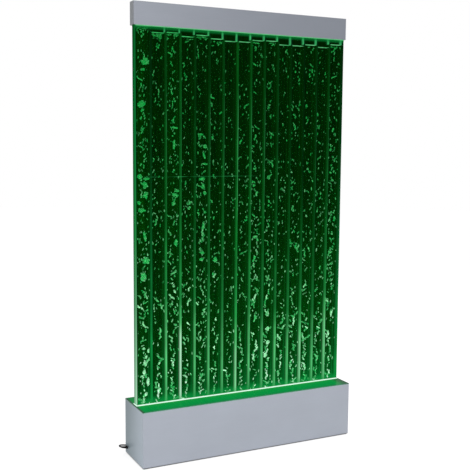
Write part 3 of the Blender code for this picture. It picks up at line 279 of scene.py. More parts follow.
# The main string of air: it swings wider and breaks up as it rises
TRAIN_START_DROP = 0.05
TRAIN_TOP = 0.95
TRAIN_STEP = 0.011
TRAIN_STEP_SHARES = (0.6, 1.6)
TRAIN_STEP_GROWTH_SHARE = 0.7
TRAIN_WAVES = (0.10, 0.17)
TRAIN_GAP_POWER = 1.1
TRAIN_GAP_SHARE = 1.3
TRAIN_FILL_SHARE = 0.35
TRAIN_SWING = 0.002
TRAIN_SWING_GROWTH = 0.011
TRAIN_SWING_RATE = 2.2
TRAIN_SCATTER = 0.0015
TRAIN_SCATTER_GROWTH = 0.004
TRAIN_SIZE = 0.0013
TRAIN_SIZE_GROWTH = 0.0022
TRAIN_EVEN_SHARE = 0.8
TRAIN_CHANNEL_SHARE = 0.2
TRAIN_WHITE_POWER = 1.3
TRAIN_BEND = 0.8
TRAIN_POWER = 0.75
TRAIN_POWER_GROWTH = 0.6
TRAIN_DIM_SHARE = 0.45

# Froth: flat bubbles under the surface, and how much of it lies in each channel
FROTH_COUNT = 12
FROTH_SHARES = (0.8, 2.8, 1.3, 0.4, 1.4, 0.4, 0.0, 0.0, 0.6, 0.5, 0.0, 0.0, 0.3, 0.0, 0.4)
FROTH_WALL_GAP = 0.005
FROTH_DROP = 0.003
FROTH_THINNING_PER_METRE = 170
FROTH_WIDTHS = (0.0022, 0.0065)
FROTH_HEIGHTS = (0.0016, 0.0034)
FROTH_LEAN = 0.4
FROTH_WHITE_SHARE = 0.4
FROTH_POWERS = (0.6, 1.05)

# Large bubbles: a body with lobes round it, paler towards the foot
LARGE_DEPTH = 0.009
LARGE_BODY_SHARE = 0.98
LARGE_LEAN = 0.4
LARGE_POWER = 1.12
LARGE_PALE_TOP = 0.7
LARGE_PALE_SPAN = 0.4
LARGE_PALEST_SHARE = 0.6
LOBE_COUNT = 5
LOBE_OUT_SHARES = (0.6, 0.85)
LOBE_WIDE_SHARES = (0.18, 0.34)
LOBE_TALL_SHARES = (0.22, 0.42)
LOBE_LEAN = 0.8
LOBE_WHITE_SHARE = 0.35
LOBE_POWERS = (0.8, 1.1)
# The largest bubbles by channel: share of its width, then height, half width and half height in mm
LARGE_BUBBLES = {
    0: (
        (0.68, 1653, 19, 16.5), (0.52, 1621, 11, 6), (0.40, 1483, 19, 14.5),
        (0.26, 1191, 11, 12), (0.77, 1183, 16, 6), (0.66, 1157, 12, 14),
        (0.70, 1115, 11, 17), (0.18, 1085, 8.5, 8), (0.38, 1053, 17, 10),
        (0.62, 946, 6.5, 24), (0.72, 844, 16, 16), (0.50, 780, 13, 19),
        (0.50, 477, 7.5, 6), (0.86, 465, 5, 9.5), (0.69, 442, 5.3, 8),
        (0.58, 414, 5.5, 14.8), (0.52, 377, 7.8, 10.5), (0.82, 335, 6.2, 19),
        (0.67, 281, 6.8, 8.5), (0.48, 256, 5.5, 11.5),
    ),
    2: (
        (0.60, 1391, 16, 4.5), (0.60, 1325, 5.5, 26), (0.82, 1131, 11, 6),
        (0.66, 1114, 15, 8), (0.54, 1080, 10, 10), (0.75, 915, 7.5, 16),
    ),
    4: (
        (0.45, 1365, 10, 5.5), (0.77, 1315, 10, 9), (0.69, 1277, 4.5, 15),
        (0.75, 1242, 14, 4.5), (0.53, 1180, 17, 7), (0.62, 1148, 7.5, 13),
        (0.75, 1120, 8.5, 8), (0.63, 980, 5, 19), (0.58, 866, 10, 7),
        (0.50, 838, 11, 7),
    ),
    5: (
        (0.50, 834, 8.5, 13),
    ),
    9: (
        (0.42, 575, 8.5, 12), (0.46, 508, 10.5, 11), (0.50, 445, 9.5, 11),
        (0.30, 388, 9, 12),
    ),
}

# The mains lead: x and y from the shell's left rear exit, z from the floor
LEAD_DIAMETER = 0.006
BASE_HALF_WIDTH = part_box("deck_plate")[1].x
BASE_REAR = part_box("deck_plate")[1].y
EXIT_FROM_REAR = 0.022
RELIEF_LENGTH = 0.026
GAP = 0.0003
COIL_FROM_EXIT = 0.200
COIL_OUTER_RADIUS = 0.0460
COIL_TURNS = 7
COIL_CLIMB_TURNS = 0.5
COIL_CLEARANCE = 0.0005
COIL_TAIL = 0.026
TIE_THICKNESS = 0.0008
LEAD_SPACING = 0.003
LEAD_BEVEL_STEPS = 4
COIL_STEPS = 48
LEAD_ROUTE = [
    (0.000, 0.000, 0.0300),
    (-0.006, 0.0005, 0.0300),
    (-0.0175, 0.0065, 0.0299),
    (-0.0250, 0.0180, 0.0296),
    (-0.0245, 0.0315, 0.0285),
    (-0.0165, 0.0430, 0.0262),
    (-0.0035, 0.0500, 0.0228),
    (0.0120, 0.0535, 0.0184),
    (0.0290, 0.0550, 0.0134),
    (0.0470, 0.0550, 0.0084),
    (0.0660, 0.0540, 0.0047),
    (0.0860, 0.0520, 0.0032),
    (0.1070, 0.0495, 0.0031),
    (0.1290, 0.0475, 0.0031),
    (0.1500, 0.0465, 0.0032),
    (0.1700, 0.0460, 0.0037),
    (0.1840, 0.0460, 0.0041),
]
LEAD_RADIUS = LEAD_DIAMETER / 2
COIL_PITCH = LEAD_DIAMETER + COIL_CLEARANCE
COIL_LOW = TIE_THICKNESS + GAP + LEAD_RADIUS
COIL_HIGH = COIL_LOW + COIL_PITCH
EXIT = Vector((-BASE_HALF_WIDTH, BASE_REAR - EXIT_FROM_REAR, 0))
COIL_START = EXIT + Vector((COIL_FROM_EXIT, LEAD_ROUTE[-1][1], COIL_LOW))
COIL_CENTRE = COIL_START + Vector((0, COIL_OUTER_RADIUS, 0))


def linear(value):
    """A colour channel from 0 to 255 as the linear share that a shader wants, by the sRGB curve."""
    share = value / 255
    if share <= 0.04045:
        return share / 12.92
    return ((share + 0.055) / 1.055) ** 2.4


def rgba(colour):
    return [linear(c) for c in colour] + [1]


class Nodes:
    """Short calls that build the nodes of one tree."""

    def __init__(self, tree):
        self.tree = tree

    def feed(self, socket, value):
        """Link a socket, or write a plain value into it."""
        if isinstance(value, bpy.types.NodeSocket):
            self.tree.links.new(value, socket)
        else:
            socket.default_value = value

    def node(self, kind, *values):
        """A new node with its first inputs fed."""
        made = self.tree.nodes.new("ShaderNode" + kind)
        for socket, value in zip(made.inputs, values):
            self.feed(socket, value)
        return made

    def parts(self, vector):
        """A vector's x, y and z."""
        return tuple(self.node("SeparateXYZ", vector).outputs)

    def place(self):
        """The point on the piece in metres, as x, y and z."""
        return self.parts(self.node("TexCoord").outputs["Object"])

    def math(self, operation, *values):
        made = self.node("Math", *values)
        made.operation = operation
        return made.outputs[0]

    def times(self, product, *others):
        """The product of several numbers."""
        for other in others:
            product = self.math("MULTIPLY", product, other)
        return product

    def fade(self, value, low, high, at_low=0.0, at_high=1.0, smooth=True):
        """A number that goes from at_low to at_high while value goes from low to high."""
        made = self.node("MapRange", value, low, high, at_low, at_high)
        made.interpolation_type = "SMOOTHSTEP" if smooth else "LINEAR"
        return made.outputs[0]


class Finish(Nodes):
    """One material and the short calls that build its nodes."""

    def __init__(self, name):
        self.material = bpy.data.materials.new(name)
        self.material.use_nodes = True
        super().__init__(self.material.node_tree)
        self.shader = self.tree.nodes["Principled BSDF"]

    def set(self, **values):
        """Shader inputs by name, with _ for a space."""
        for name, value in values.items():
            self.feed(self.shader.inputs[name.replace("_", " ")], value)

    def glowing(self, light, base, roughness, gloss):
        """The material of a dark surface that shows its own light, in the colour as written."""
        self.set(Emission_Color=light, Emission_Strength=1.0, Base_Color=rgba(base))
        self.set(Roughness=roughness, Specular_IOR_Level=gloss)
        return self.material

    def vector_math(self, operation, *values):
        made = self.node("VectorMath", *values)
        made.operation = operation
        return made

    def noise(self, cells, low=0.0, high=1.0, detail=2.0):
        """Noise from low to high, with so many cells per metre along x, y and z."""
        at = self.node("TexCoord").outputs["Object"]
        stretched = self.vector_math("MULTIPLY", at, cells).outputs[0]
        made = self.node("TexNoise", stretched)
        made.inputs["Scale"].default_value = 1
        made.inputs["Detail"].default_value = detail
        return self.fade(made.outputs["Fac"], NOISE_LOW, NOISE_HIGH, low, high, smooth=False)

    def ramp(self, factor, stops):
        """A colour that follows stops of a place, which may be in metres, and a colour."""
        first = stops[0][0]
        span = stops[-1][0] - first
        made = self.node("ValToRGB", self.fade(factor, first, first + span, smooth=False))
        elements = made.color_ramp.elements
        while len(elements) < len(stops):
            elements.new(0.5)
        for element, (place, *colour) in zip(elements, stops):
            element.position = (place - first) / span
            element.color = rgba(colour)
        return made.outputs[0]

    def mix(self, factor, a, b):
        """Two colours mixed; a plain colour is red, green and blue from 0 to 255."""
        made = self.node("Mix", factor)
        made.data_type = "RGBA"
        # The sockets for colours come after those for numbers and vectors
        for socket, value in ((made.inputs[6], a), (made.inputs[7], b)):
            self.feed(socket, rgba(value) if isinstance(value, tuple) else value)
        return made.outputs[2]

    def scaled(self, colour, factor):
        """A colour made brighter or darker."""
        made = self.vector_math("SCALE", colour)
        self.feed(made.inputs["Scale"], factor)
        return made.outputs[0]

    def added(self, a, b):
        return self.vector_math("ADD", a, b).outputs[0]

    def plain(self, colour):
        """One colour as a socket."""
        made = self.node("RGB")
        made.outputs[0].default_value = rgba(colour)
        return made.outputs[0]

    def read(self, name):
        """A number stored on the mesh."""
        made = self.node("Attribute")
        made.attribute_name = name
        return made.outputs["Fac"]

    def bump(self, height, depth):
        """Fine relief that is depth metres deep where height is 1."""
        made = self.node("Bump")
        made.inputs["Strength"].default_value = 1
        made.inputs["Distance"].default_value = depth
        self.feed(made.inputs["Height"], height)
        self.set(Normal=made.outputs[0])


def dress(names, material):
    """Give CAD nodes, named in one string, a finish."""
    for name in names.split():
        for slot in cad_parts[name].material_slots:
            slot.material = material


def satin_metal(name, colour, right_shade_share, spill_share, end_front_shading, end_rear_shading):
    """Satin sheet metal with faint lengthwise grain, painted shade towards the right, painted light and
    shade on its left end wall, and lit green at the deck.
    """
    made = Finish(name)
    x, y, z = made.place()
    grain = made.noise((9, 9, 900), 0.975, 1.025, detail=4)
    patches = made.noise((5, 5, 9), 0.97, 1.03)
    # Painted shade: the colour darkens towards the right end
    along = made.fade(x, -BASE_HALF_WIDTH, BASE_HALF_WIDTH, 1.0, right_shade_share, smooth=False)
    # Painted light and shade on the left end wall: lighter at the front, darker at the rear
    on_end = made.fade(x, -BASE_HALF_WIDTH, END_WALL_DEPTH - BASE_HALF_WIDTH, 1.0, 0.0)
    end = made.mix(made.fade(y, -BASE_REAR, BASE_REAR), end_front_shading, end_rear_shading)
    tone = made.mix(on_end, made.scaled(made.plain(colour), along), end)
    tone = made.mix(made.fade(z, *SPILL_HEIGHTS, 0.0, spill_share), tone, SPILL_GREEN)
    near_floor = made.fade(z, *FLOOR_SHADE_HEIGHTS, FLOOR_SHADE_SHARE, 1.0)
    made.set(Base_Color=made.scaled(tone, made.times(grain, patches, near_floor)), Metallic=SATIN_METALLIC)
    made.set(Roughness=made.noise((12, 12, 700), *SATIN_ROUGHNESSES, detail=3))
    made.bump(made.noise((700, 700, 2500), detail=3), METAL_RELIEF)
    return made.material


def moulded(name, colour, roughness=0.5, grain_cells=900, gloss=0.4):
    """Moulded plastic or rubber with a fine eroded texture."""
    made = Finish(name)
    pale = tuple(min(255, channel * MOULDED_PALER_SHARE + MOULDED_PALER_STEP) for channel in colour)
    tone = made.noise((160, 160, 160), detail=3)
    made.set(Base_Color=made.mix(tone, colour, pale), Specular_IOR_Level=gloss)
    low, high = roughness - MOULDED_ROUGHNESS_SPREAD, roughness + MOULDED_ROUGHNESS_SPREAD
    made.set(Roughness=made.noise([grain_cells / 3] * 3, low, high))
    made.bump(made.noise([grain_cells] * 3, detail=3), MOULDED_RELIEF)
    return made.material


def plated(name, colour, roughness=0.32):
    """Plated steel or mill aluminium with fine scratches."""
    made = Finish(name)
    scratches = made.noise((1400, 1400, 60), detail=4)
    dark = tuple(channel * PLATED_DARKER_SHARE for channel in colour)
    made.set(Base_Color=made.mix(scratches, dark, colour), Metallic=1.0)
    made.set(Roughness=made.noise((500, 500, 40), roughness - PLATED_SMOOTHER, roughness + PLATED_ROUGHER))
    made.bump(scratches, METAL_RELIEF)
    return made.material


def in_scene(name, data):
    """A new object in the scene, made of the given mesh, curve, lamp or camera."""
    made = bpy.data.objects.new(name, data)
    bpy.context.scene.collection.objects.link(made)
    return made


def make_camera():
    yaw = math.radians(CAMERA_YAW_DEGREES)
    pitch = math.radians(CAMERA_PITCH_DEGREES)
    roll = math.radians(CAMERA_ROLL_DEGREES)
    ahead = Vector((math.sin(yaw) * math.cos(pitch), math.cos(yaw) * math.cos(pitch), -math.sin(pitch)))
    right = Vector((math.cos(yaw), -math.sin(yaw), 0))
    up = right.cross(ahead)
    right, up = (
        math.cos(roll) * right + math.sin(roll) * up,
        math.cos(roll) * up - math.sin(roll) * right,
    )
    data = bpy.data.cameras.new("camera")
    data.sensor_width = SENSOR_WIDTH_MM
    data.lens = SENSOR_WIDTH_MM * FOCAL_PIXELS / PICTURE_PIXELS
    camera = in_scene("camera", data)
    turn = Matrix((right, up, -ahead)).transposed().to_4x4()
    camera.matrix_world = Matrix.Translation(CAMERA_PLACE) @ turn
    bpy.context.scene.camera = camera


def smooth_points(route, fine=24):
    """Many points along a smooth curve that passes through the route's own points."""
    points = [Vector(p) for p in route]
    before = 2 * points[0] - points[1]
    after = 2 * points[-1] - points[-2]
    padded = [before, *points, after]
    found = []
    for a, b, c, d in zip(padded, padded[1:], padded[2:], padded[3:]):
        for i in range(fine):
            t = i / fine
            bend = (2 * a - 5 * b + 4 * c - d) * t * t
            twist = (3 * b - a - 3 * c + d) * t * t * t
            found.append((2 * b + (c - a) * t + bend + twist) / 2)
    found.append(points[-1])
    return found


def length_of(points):
    return sum((b - a).length for a, b in zip(points, points[1:]))


def evenly_spaced(points, start, end, spacing):
    """Points about one spacing apart along a line, from one distance to another."""
    count = max(1, round((end - start) / spacing))
    wanted = [start + (end - start) * i / count for i in range(count + 1)]
    found = []
    along = 0.0
    for a, b in zip(points, points[1:]):
        step = (b - a).length
        while len(found) < len(wanted) and wanted[len(found)] <= along + step:
            found.append(a.lerp(b, (wanted[len(found)] - along) / step))
        along += step
    if len(found) < len(wanted):
        found.append(points[-1])
    return found


def coil_points():
    """The coil's centreline: it winds in on the floor and out again on the layer above."""
    points = [COIL_START - Vector((LEAD_DIAMETER, 0, 0))]
    for i in range(COIL_TURNS * COIL_STEPS + 1):
        turn = i / COIL_STEPS
        radius = COIL_OUTER_RADIUS - COIL_PITCH * min(turn, COIL_TURNS - turn)
        climb = min(max((turn - COIL_TURNS / 2) / COIL_CLIMB_TURNS + 0.5, 0), 1)
        height = COIL_LOW + (COIL_HIGH - COIL_LOW) * climb * climb * (3 - 2 * climb)
        angle = 2 * math.pi * (turn - 0.25)
        x = COIL_CENTRE.x + radius * math.cos(angle)
        y = COIL_CENTRE.y + radius * math.sin(angle)
        points.append(Vector((x, y, height)))
    points.append(points[-1] + Vector((COIL_TAIL, 0, 0)))
    return points


def make_lead(rubber):
    """The free mains lead, from the relief's tip round its loop to the coil and the plug."""
    route = [EXIT + Vector(point) for point in LEAD_ROUTE]
    route.append(COIL_START - Vector((LEAD_DIAMETER + GAP, 0, 0)))
    line = smooth_points(route)
    points = evenly_spaced(line, RELIEF_LENGTH + GAP, length_of(line), LEAD_SPACING) + coil_points()
    curve = bpy.data.curves.new("lead", "CURVE")
    curve.dimensions = "3D"
    curve.bevel_depth = LEAD_RADIUS
    curve.bevel_resolution = LEAD_BEVEL_STEPS
    curve.use_fill_caps = True
    spline = curve.splines.new("POLY")
    spline.points.add(len(points) - 1)
    for target, point in zip(spline.points, points):
        target.co = (*point, 1)
    spline.use_smooth = True
    curve.materials.append(rubber)
    lead = in_scene("lead", curve)
    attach(lead, "root")
    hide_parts("mains_lead", "lead_coil")


def solid(name, shape, materials):
    """Turn a bmesh into a smooth-shaded piece that rides on the base."""
    mesh = bpy.data.meshes.new(name)
    shape.to_mesh(mesh)
    shape.free()
    for material in materials:
        mesh.materials.append(material)
    mesh.shade_smooth()
    piece = in_scene(name, mesh)
    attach(piece, "root")
    return piece


def bar_centre(index):
    """The x of a bar's middle, from 0 at the left end bar."""
    return FIRST_BAR_X + index * CHANNEL_PITCH


def water_level(channel):
    return CAP_BOTTOM - WATER_DROPS[channel]


def crowded(low, high, steps):
    """Places from low to high that crowd towards both."""
    middle = (low + high) / 2
    half = (high - low) / 2
    return [middle - half * math.cos(math.pi * i / steps) for i in range(steps + 1)]


def make_water(channel, body, surface):
    """One channel's water, with a surface that climbs up the walls all round."""
    low_x = bar_centre(channel) + BAR_THICKNESS / 2 + WATER_CLEARANCE
    high_x = bar_centre(channel + 1) - BAR_THICKNESS / 2 - WATER_CLEARANCE
    low_y = WATER_FRONT + WATER_CLEARANCE
    high_y = WATER_BACK - WATER_CLEARANCE
    level = water_level(channel)
    shape = bmesh.new()
    top = []
    for x in crowded(low_x, high_x, WATER_STEPS_X):
        column = []
        for y in crowded(low_y, high_y, WATER_STEPS_Y):
            near = min(x - low_x, high_x - x, y - low_y, high_y - y)
            z = level + MENISCUS_RISE * math.exp(-near / MENISCUS_REACH)
            column.append(shape.verts.new((x, y, z)))
        top.append(column)
    for i in range(WATER_STEPS_X):
        for j in range(WATER_STEPS_Y):
            face = shape.faces.new((top[i][j], top[i + 1][j], top[i + 1][j + 1], top[i][j + 1]))
            face.material_index = 1
    rim = [top[i][0] for i in range(WATER_STEPS_X)]
    rim += [top[WATER_STEPS_X][j] for j in range(WATER_STEPS_Y)]
    rim += [top[i][WATER_STEPS_Y] for i in range(WATER_STEPS_X, 0, -1)]
    rim += [top[0][j] for j in range(WATER_STEPS_Y, 0, -1)]
    foot = [shape.verts.new((vert.co.x, vert.co.y, CHANNEL_FLOOR + WATER_CLEARANCE)) for vert in rim]
    count = len(rim)
    for i in range(count):
        j = (i + 1) % count
        shape.faces.new((rim[j], rim[i], foot[i], foot[j]))
    shape.faces.new(foot)
    bmesh.ops.recalc_face_normals(shape, faces=shape.faces)
    for edge in shape.edges:
        if len(edge.link_faces) == 2 and edge.calc_face_angle() > math.radians(SHARP_EDGE_DEGREES):
            edge.smooth = False
    piece = solid(f"water_{channel + 1:02d}", shape, [body, surface])


def unit_ball(fineness):
    """The points and faces of a small round ball."""
    shape = bmesh.new()
    bmesh.ops.create_icosphere(shape, subdivisions=fineness, radius=1)
    points = [vert.co.copy() for vert in shape.verts]
    faces = [[vert.index for vert in face.verts] for face in shape.faces]
    shape.free()
    return points, faces


def at_height(stops, z):
    """A number that follows stops of (height, number)."""
    for (low, below), (high, above) in zip(stops, stops[1:]):
        if z < high:
            return below + (above - below) * max(z - low, 0) / (high - low)
    return stops[-1][1]


class Channel:
    """One channel's bubbles: it keeps the blobs that fit between its walls."""

    def __init__(self, index):
        self.index = index
        self.rng = random.Random(BUBBLE_SEED + index)
        self.share = CHANNEL_SHARES[index]
        self.low_x = bar_centre(index) + BAR_THICKNESS / 2 + BUBBLE_SIDE_CLEARANCE
        self.high_x = bar_centre(index + 1) - BAR_THICKNESS / 2 - BUBBLE_SIDE_CLEARANCE
        self.middle = (self.low_x + self.high_x) / 2
        self.ceiling = water_level(index) - BUBBLE_TOP_CLEARANCE
        self.blobs = []

    def add(self, x, y, z, wide, tall, lean, white, power):
        """Keep one blob: its place, half sizes, lean, whiteness and brightness."""
        deep = min(wide * BUBBLE_DEPTH_SHARE, BUBBLE_DEEPEST)
        reach = max(wide, tall * abs(math.sin(lean)))
        x = min(max(x, self.low_x + reach), self.high_x - reach)
        nearest = WATER_FRONT + deep + BUBBLE_SIDE_CLEARANCE
        y = min(max(y, nearest), WATER_BACK - deep - BUBBLE_SIDE_CLEARANCE)
        if CHANNEL_FLOOR + tall < z < self.ceiling - tall:
            self.blobs.append((Vector((x, y, z)), (wide, deep, tall), lean, white, power))

    def any_depth(self):
        return self.rng.uniform(WATER_FRONT + BUBBLE_DEPTH_MARGIN, WATER_BACK - BUBBLE_DEPTH_MARGIN)

    def large(self, across, z, half_wide, half_tall):
        """One large bubble with an uneven outline, near the front sheet."""
        rng = self.rng
        x = self.low_x + across * (self.high_x - self.low_x)
        y = WATER_FRONT + LARGE_DEPTH
        white = min(max((LARGE_PALE_TOP - z) / LARGE_PALE_SPAN, 0.0), LARGE_PALEST_SHARE)
        lean = rng.uniform(-LARGE_LEAN, LARGE_LEAN)
        self.add(x, y, z, half_wide * LARGE_BODY_SHARE, half_tall, lean, white, LARGE_POWER)
        for _ in range(LOBE_COUNT):
            angle = rng.uniform(0, 2 * math.pi)
            out = rng.uniform(*LOBE_OUT_SHARES)
            wide = half_wide * rng.uniform(*LOBE_WIDE_SHARES)
            tall = half_tall * rng.uniform(*LOBE_TALL_SHARES)
            lean = rng.uniform(-LOBE_LEAN, LOBE_LEAN)
            whiter = white + rng.uniform(0, LOBE_WHITE_SHARE)
            lobe_x = x + half_wide * out * math.cos(angle)
            lobe_z = z + half_tall * out * math.sin(angle)
            self.add(lobe_x, y, lobe_z, wide, tall, lean, whiter, rng.uniform(*LOBE_POWERS))

    def chain(self, x, z, size, bend, white, power, dim_share=0.0):
        """A bent string of uneven blobs, as wide bubbles break into when they rise."""
        rng = self.rng
        count = rng.randint(*CHAIN_COUNTS)
        y = self.any_depth()
        lean = rng.uniform(-bend, bend)
        for _ in range(count):
            wide = size * rng.uniform(*CHAIN_WIDE_SHARES)
            tall = wide * rng.uniform(*CHAIN_TALL_SHARES)
            place = x + rng.gauss(0, size * CHAIN_SCATTER_SHARE)
            self.add(place, y, z, wide, tall, lean, white, power * rng.uniform(*CHAIN_POWER_SHARES))
            # A dim blob behind this one: a painted halo of light
            if rng.random() < dim_share:
                self.add(place, y + DIM_BLOB_BEHIND, z, wide * DIM_WIDE_SHARE, tall * DIM_TALL_SHARE,
                         lean, 0.0, rng.uniform(*DIM_POWERS))
            lean = min(max(lean + rng.uniform(-bend, bend), -CHAIN_MOST_LEAN), CHAIN_MOST_LEAN)
            x += math.sin(lean) * tall * CHAIN_STEP_SHARE
            z += math.cos(lean) * tall * CHAIN_STEP_SHARE

    def patch(self, x, z, size, white, power):
        """A loose heap of blobs that flows upwards."""
        rng = self.rng
        for _ in range(rng.randint(*PATCH_COUNTS)):
            wide = size * rng.uniform(*PATCH_WIDE_SHARES)
            tall = size * rng.uniform(*PATCH_TALL_SHARES)
            blob_x = rng.gauss(x, size)
            y = self.any_depth()
            blob_z = rng.gauss(z, size * PATCH_RISE_SHARE)
            lean = rng.uniform(-PATCH_LEAN, PATCH_LEAN)
            self.add(blob_x, y, blob_z, wide, tall, lean, white, power)

    def specks(self):
        """Fine bubbles all the way up."""
        rng = self.rng
        fill = SPECK_EVEN_SHARE + (1 - SPECK_EVEN_SHARE) * self.share
        z = CHANNEL_FLOOR
        while z < self.ceiling:
            z += rng.expovariate(SPECKS_PER_METRE * fill * at_height(CROWDING, z))
            wide = rng.uniform(*SPECK_WIDTHS)
            tall = wide * rng.uniform(*SPECK_TALL_SHARES)
            x = rng.uniform(self.low_x, self.high_x)
            lean = rng.gauss(*SPECK_LEAN_AND_SPREAD)
            y = self.any_depth()
            white = rng.uniform(*SPECK_WHITE_SHARES)
            self.add(x, y, z, wide, tall, lean, white, rng.uniform(*SPECK_POWERS))

    def clusters(self):
        """Hooks, arrows and patches: more of them in the fuller channels, where more are patches of larger
        blobs.
        """
        rng = self.rng
        widest = (self.high_x - self.low_x) / 2 - CLUSTER_WALL_GAP
        spread = widest * (CLUSTER_SPREAD_SHARE - CLUSTER_NARROWING_SHARE * self.share)
        z = CHANNEL_FLOOR
        while z < self.ceiling:
            z += rng.expovariate(CLUSTERS_PER_METRE * self.share * at_height(CROWDING, z))
            x = self.middle + rng.uniform(-1, 1) * spread
            size = rng.uniform(*CLUSTER_SIZES)
            white = rng.uniform(0, CLUSTER_WHITE_SHARE)
            power = rng.uniform(*CLUSTER_POWERS)
            if rng.random() < PATCH_SHARE * self.share:
                self.patch(x, z, size * PATCH_SIZE_SHARE, white, power)
            else:
                self.chain(x, z, size, CLUSTER_BEND, white, power)

    def train(self):
        """The main string of air, close and bright at the foot and broken up higher."""
        rng = self.rng
        phase = rng.uniform(0, 2 * math.pi)
        wave = rng.uniform(*TRAIN_WAVES)
        z = DECK_TOP - TRAIN_START_DROP
        while z < TRAIN_TOP:
            rise = max(z - DECK_TOP, 0) / (TRAIN_TOP - DECK_TOP)
            z += TRAIN_STEP * rng.uniform(*TRAIN_STEP_SHARES) * (1 + TRAIN_STEP_GROWTH_SHARE * rise)
            gaps = TRAIN_GAP_SHARE - TRAIN_FILL_SHARE * self.share
            if rng.random() < rise ** TRAIN_GAP_POWER * gaps:
                continue
            swing = TRAIN_SWING + TRAIN_SWING_GROWTH * min(rise * TRAIN_SWING_RATE, 1)
            scatter = rng.gauss(0, TRAIN_SCATTER + TRAIN_SCATTER_GROWTH * rise)
            x = self.middle + swing * math.sin(phase + 2 * math.pi * z / wave) + scatter
            size = TRAIN_SIZE + TRAIN_SIZE_GROWTH * rng.random() ** 2
            size *= TRAIN_EVEN_SHARE + TRAIN_CHANNEL_SHARE * self.share
            white = rng.random() ** TRAIN_WHITE_POWER
            power = TRAIN_POWER + TRAIN_POWER_GROWTH * white
            self.chain(x, z, size, TRAIN_BEND, white, power, TRAIN_DIM_SHARE)

    def froth(self):
        """Flat bubbles gathered under the surface."""
        rng = self.rng
        for _ in range(round(FROTH_COUNT * FROTH_SHARES[self.index])):
            x = rng.uniform(self.low_x + FROTH_WALL_GAP, self.high_x - FROTH_WALL_GAP)
            z = self.ceiling - FROTH_DROP - rng.expovariate(FROTH_THINNING_PER_METRE)
            y = self.any_depth()
            wide = rng.uniform(*FROTH_WIDTHS)
            tall = rng.uniform(*FROTH_HEIGHTS)
            lean = rng.uniform(-FROTH_LEAN, FROTH_LEAN)
            white = rng.uniform(0, FROTH_WHITE_SHARE)
            self.add(x, y, z, wide, tall, lean, white, rng.uniform(*FROTH_POWERS))


def make_bubbles(index, balls, finish):
    """One channel's rising air as a single mesh of flattened, tilted blobs."""
    channel = Channel(index)
    channel.specks()
    channel.clusters()
    channel.train()
    channel.froth()
    for across, z, half_wide, half_tall in LARGE_BUBBLES.get(index, ()):
        sizes = (size / MM_PER_METRE for size in (z, half_wide, half_tall))
        channel.large(across, *sizes)
    verts = []
    polys = []
    whites = []
    powers = []
    for centre, (wide, deep, tall), lean, white, power in channel.blobs:
        points, faces = balls[wide > LARGE_WIDTH]
        first = len(verts)
        turn = Matrix.Rotation(lean, 3, "Y")
        skew = channel.rng.uniform(-BUBBLE_SKEW_SHARE, BUBBLE_SKEW_SHARE)
        for point in points:
            swell = 1 + skew * point.z
            lump = 1.0
            if wide > LARGE_WIDTH:
                hollow = LUMP_LEVEL - noise.noise(point * LUMPS_ACROSS + centre * LUMP_SHIFT)
                lump = 1 - LUMP_DEPTH_SHARE * min(max(hollow, 0.0), 1.0)
            offset = Vector((point.x * wide * swell, point.y * deep, point.z * tall)) * lump
            verts.append(centre + turn @ offset)
        whites.extend([white] * len(points))
        powers.extend([power] * len(points))
        polys.extend([[first + i for i in face] for face in faces])
    mesh = bpy.data.meshes.new(f"bubbles_{index + 1:02d}")
    mesh.from_pydata(verts, [], polys)
    mesh.materials.append(finish)
    mesh.shade_smooth()
    for name, values in (("white", whites), ("power", powers)):
        mesh.attributes.new(name, "FLOAT", "POINT").data.foreach_set("value", values)
    piece = in_scene(mesh.name, mesh)
    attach(piece, "root")


# Colours of the light, as red, green and blue from 0 to 255
FOOT_LINE = (226, 255, 238)
HAZE = (7, 142, 60)
SPILL_GREEN = (120, 196, 160)
CORE_MINT = (206, 245, 220)
LINE_MINT = (90, 212, 130)
FILM_GREEN = (56, 176, 100)
SHEET_GREEN = (12, 122, 52)
SEAM_GREEN = (48, 164, 88)

# Light in the panel by height, with its colour: the strips at the foot make it bright there
BAR_GLOW = (
    (0.24, 72, 174, 102),
    (0.34, 84, 190, 114),
    (0.47, 78, 180, 106),
    (0.62, 30, 124, 58),
    (0.95, 12, 90, 32),
    (1.45, 5, 62, 16),
    (1.79, 4, 54, 12),
)
DARK_GLOW = (
    (0.24, 3, 70, 18),
    (0.30, 2, 62, 13),
    (0.50, 2, 53, 6),
    (0.90, 1, 38, 1),
    (1.30, 1, 30, 0),
    (1.88, 1, 27, 0),
)
HALO_GLOW = (
    (0.24, 5, 80, 34),
    (0.60, 3, 52, 14),
    (1.00, 2, 32, 5),
    (1.88, 1, 14, 1),
)
BUBBLE_MINT = (
    (0.24, 206, 255, 222),
    (0.45, 184, 255, 202),
    (0.65, 154, 236, 174),
    (0.95, 116, 198, 138),
    (1.40, 62, 152, 88),
    (1.79, 58, 146, 84),
)
BUBBLE_GREEN = (
    (0.24, 52, 222, 110),
    (0.60, 26, 182, 80),
    (1.00, 14, 154, 62),
    (1.79, 8, 140, 50),
)
LEFT_EDGE_GLOW = (
    (0.24, 165, 218, 180),
    (0.45, 132, 192, 150),
    (0.65, 88, 160, 110),
    (0.95, 34, 132, 64),
    (1.30, 12, 116, 52),
    (1.88, 8, 88, 34),
)
RIGHT_EDGE_GLOW = (
    (0.24, 20, 158, 70),
    (0.65, 20, 128, 60),
    (1.20, 8, 76, 28),
    (1.88, 2, 34, 6),
)

# Light on the deck by how far a point lies from the panel's middle plane, with its colour
DECK_GLOW = (
    (0.018, 60, 168, 100),
    (0.028, 4, 146, 58),
    (0.080, 2, 142, 62),
    (0.104, 12, 128, 64),
    (0.110, 62, 132, 96),
)


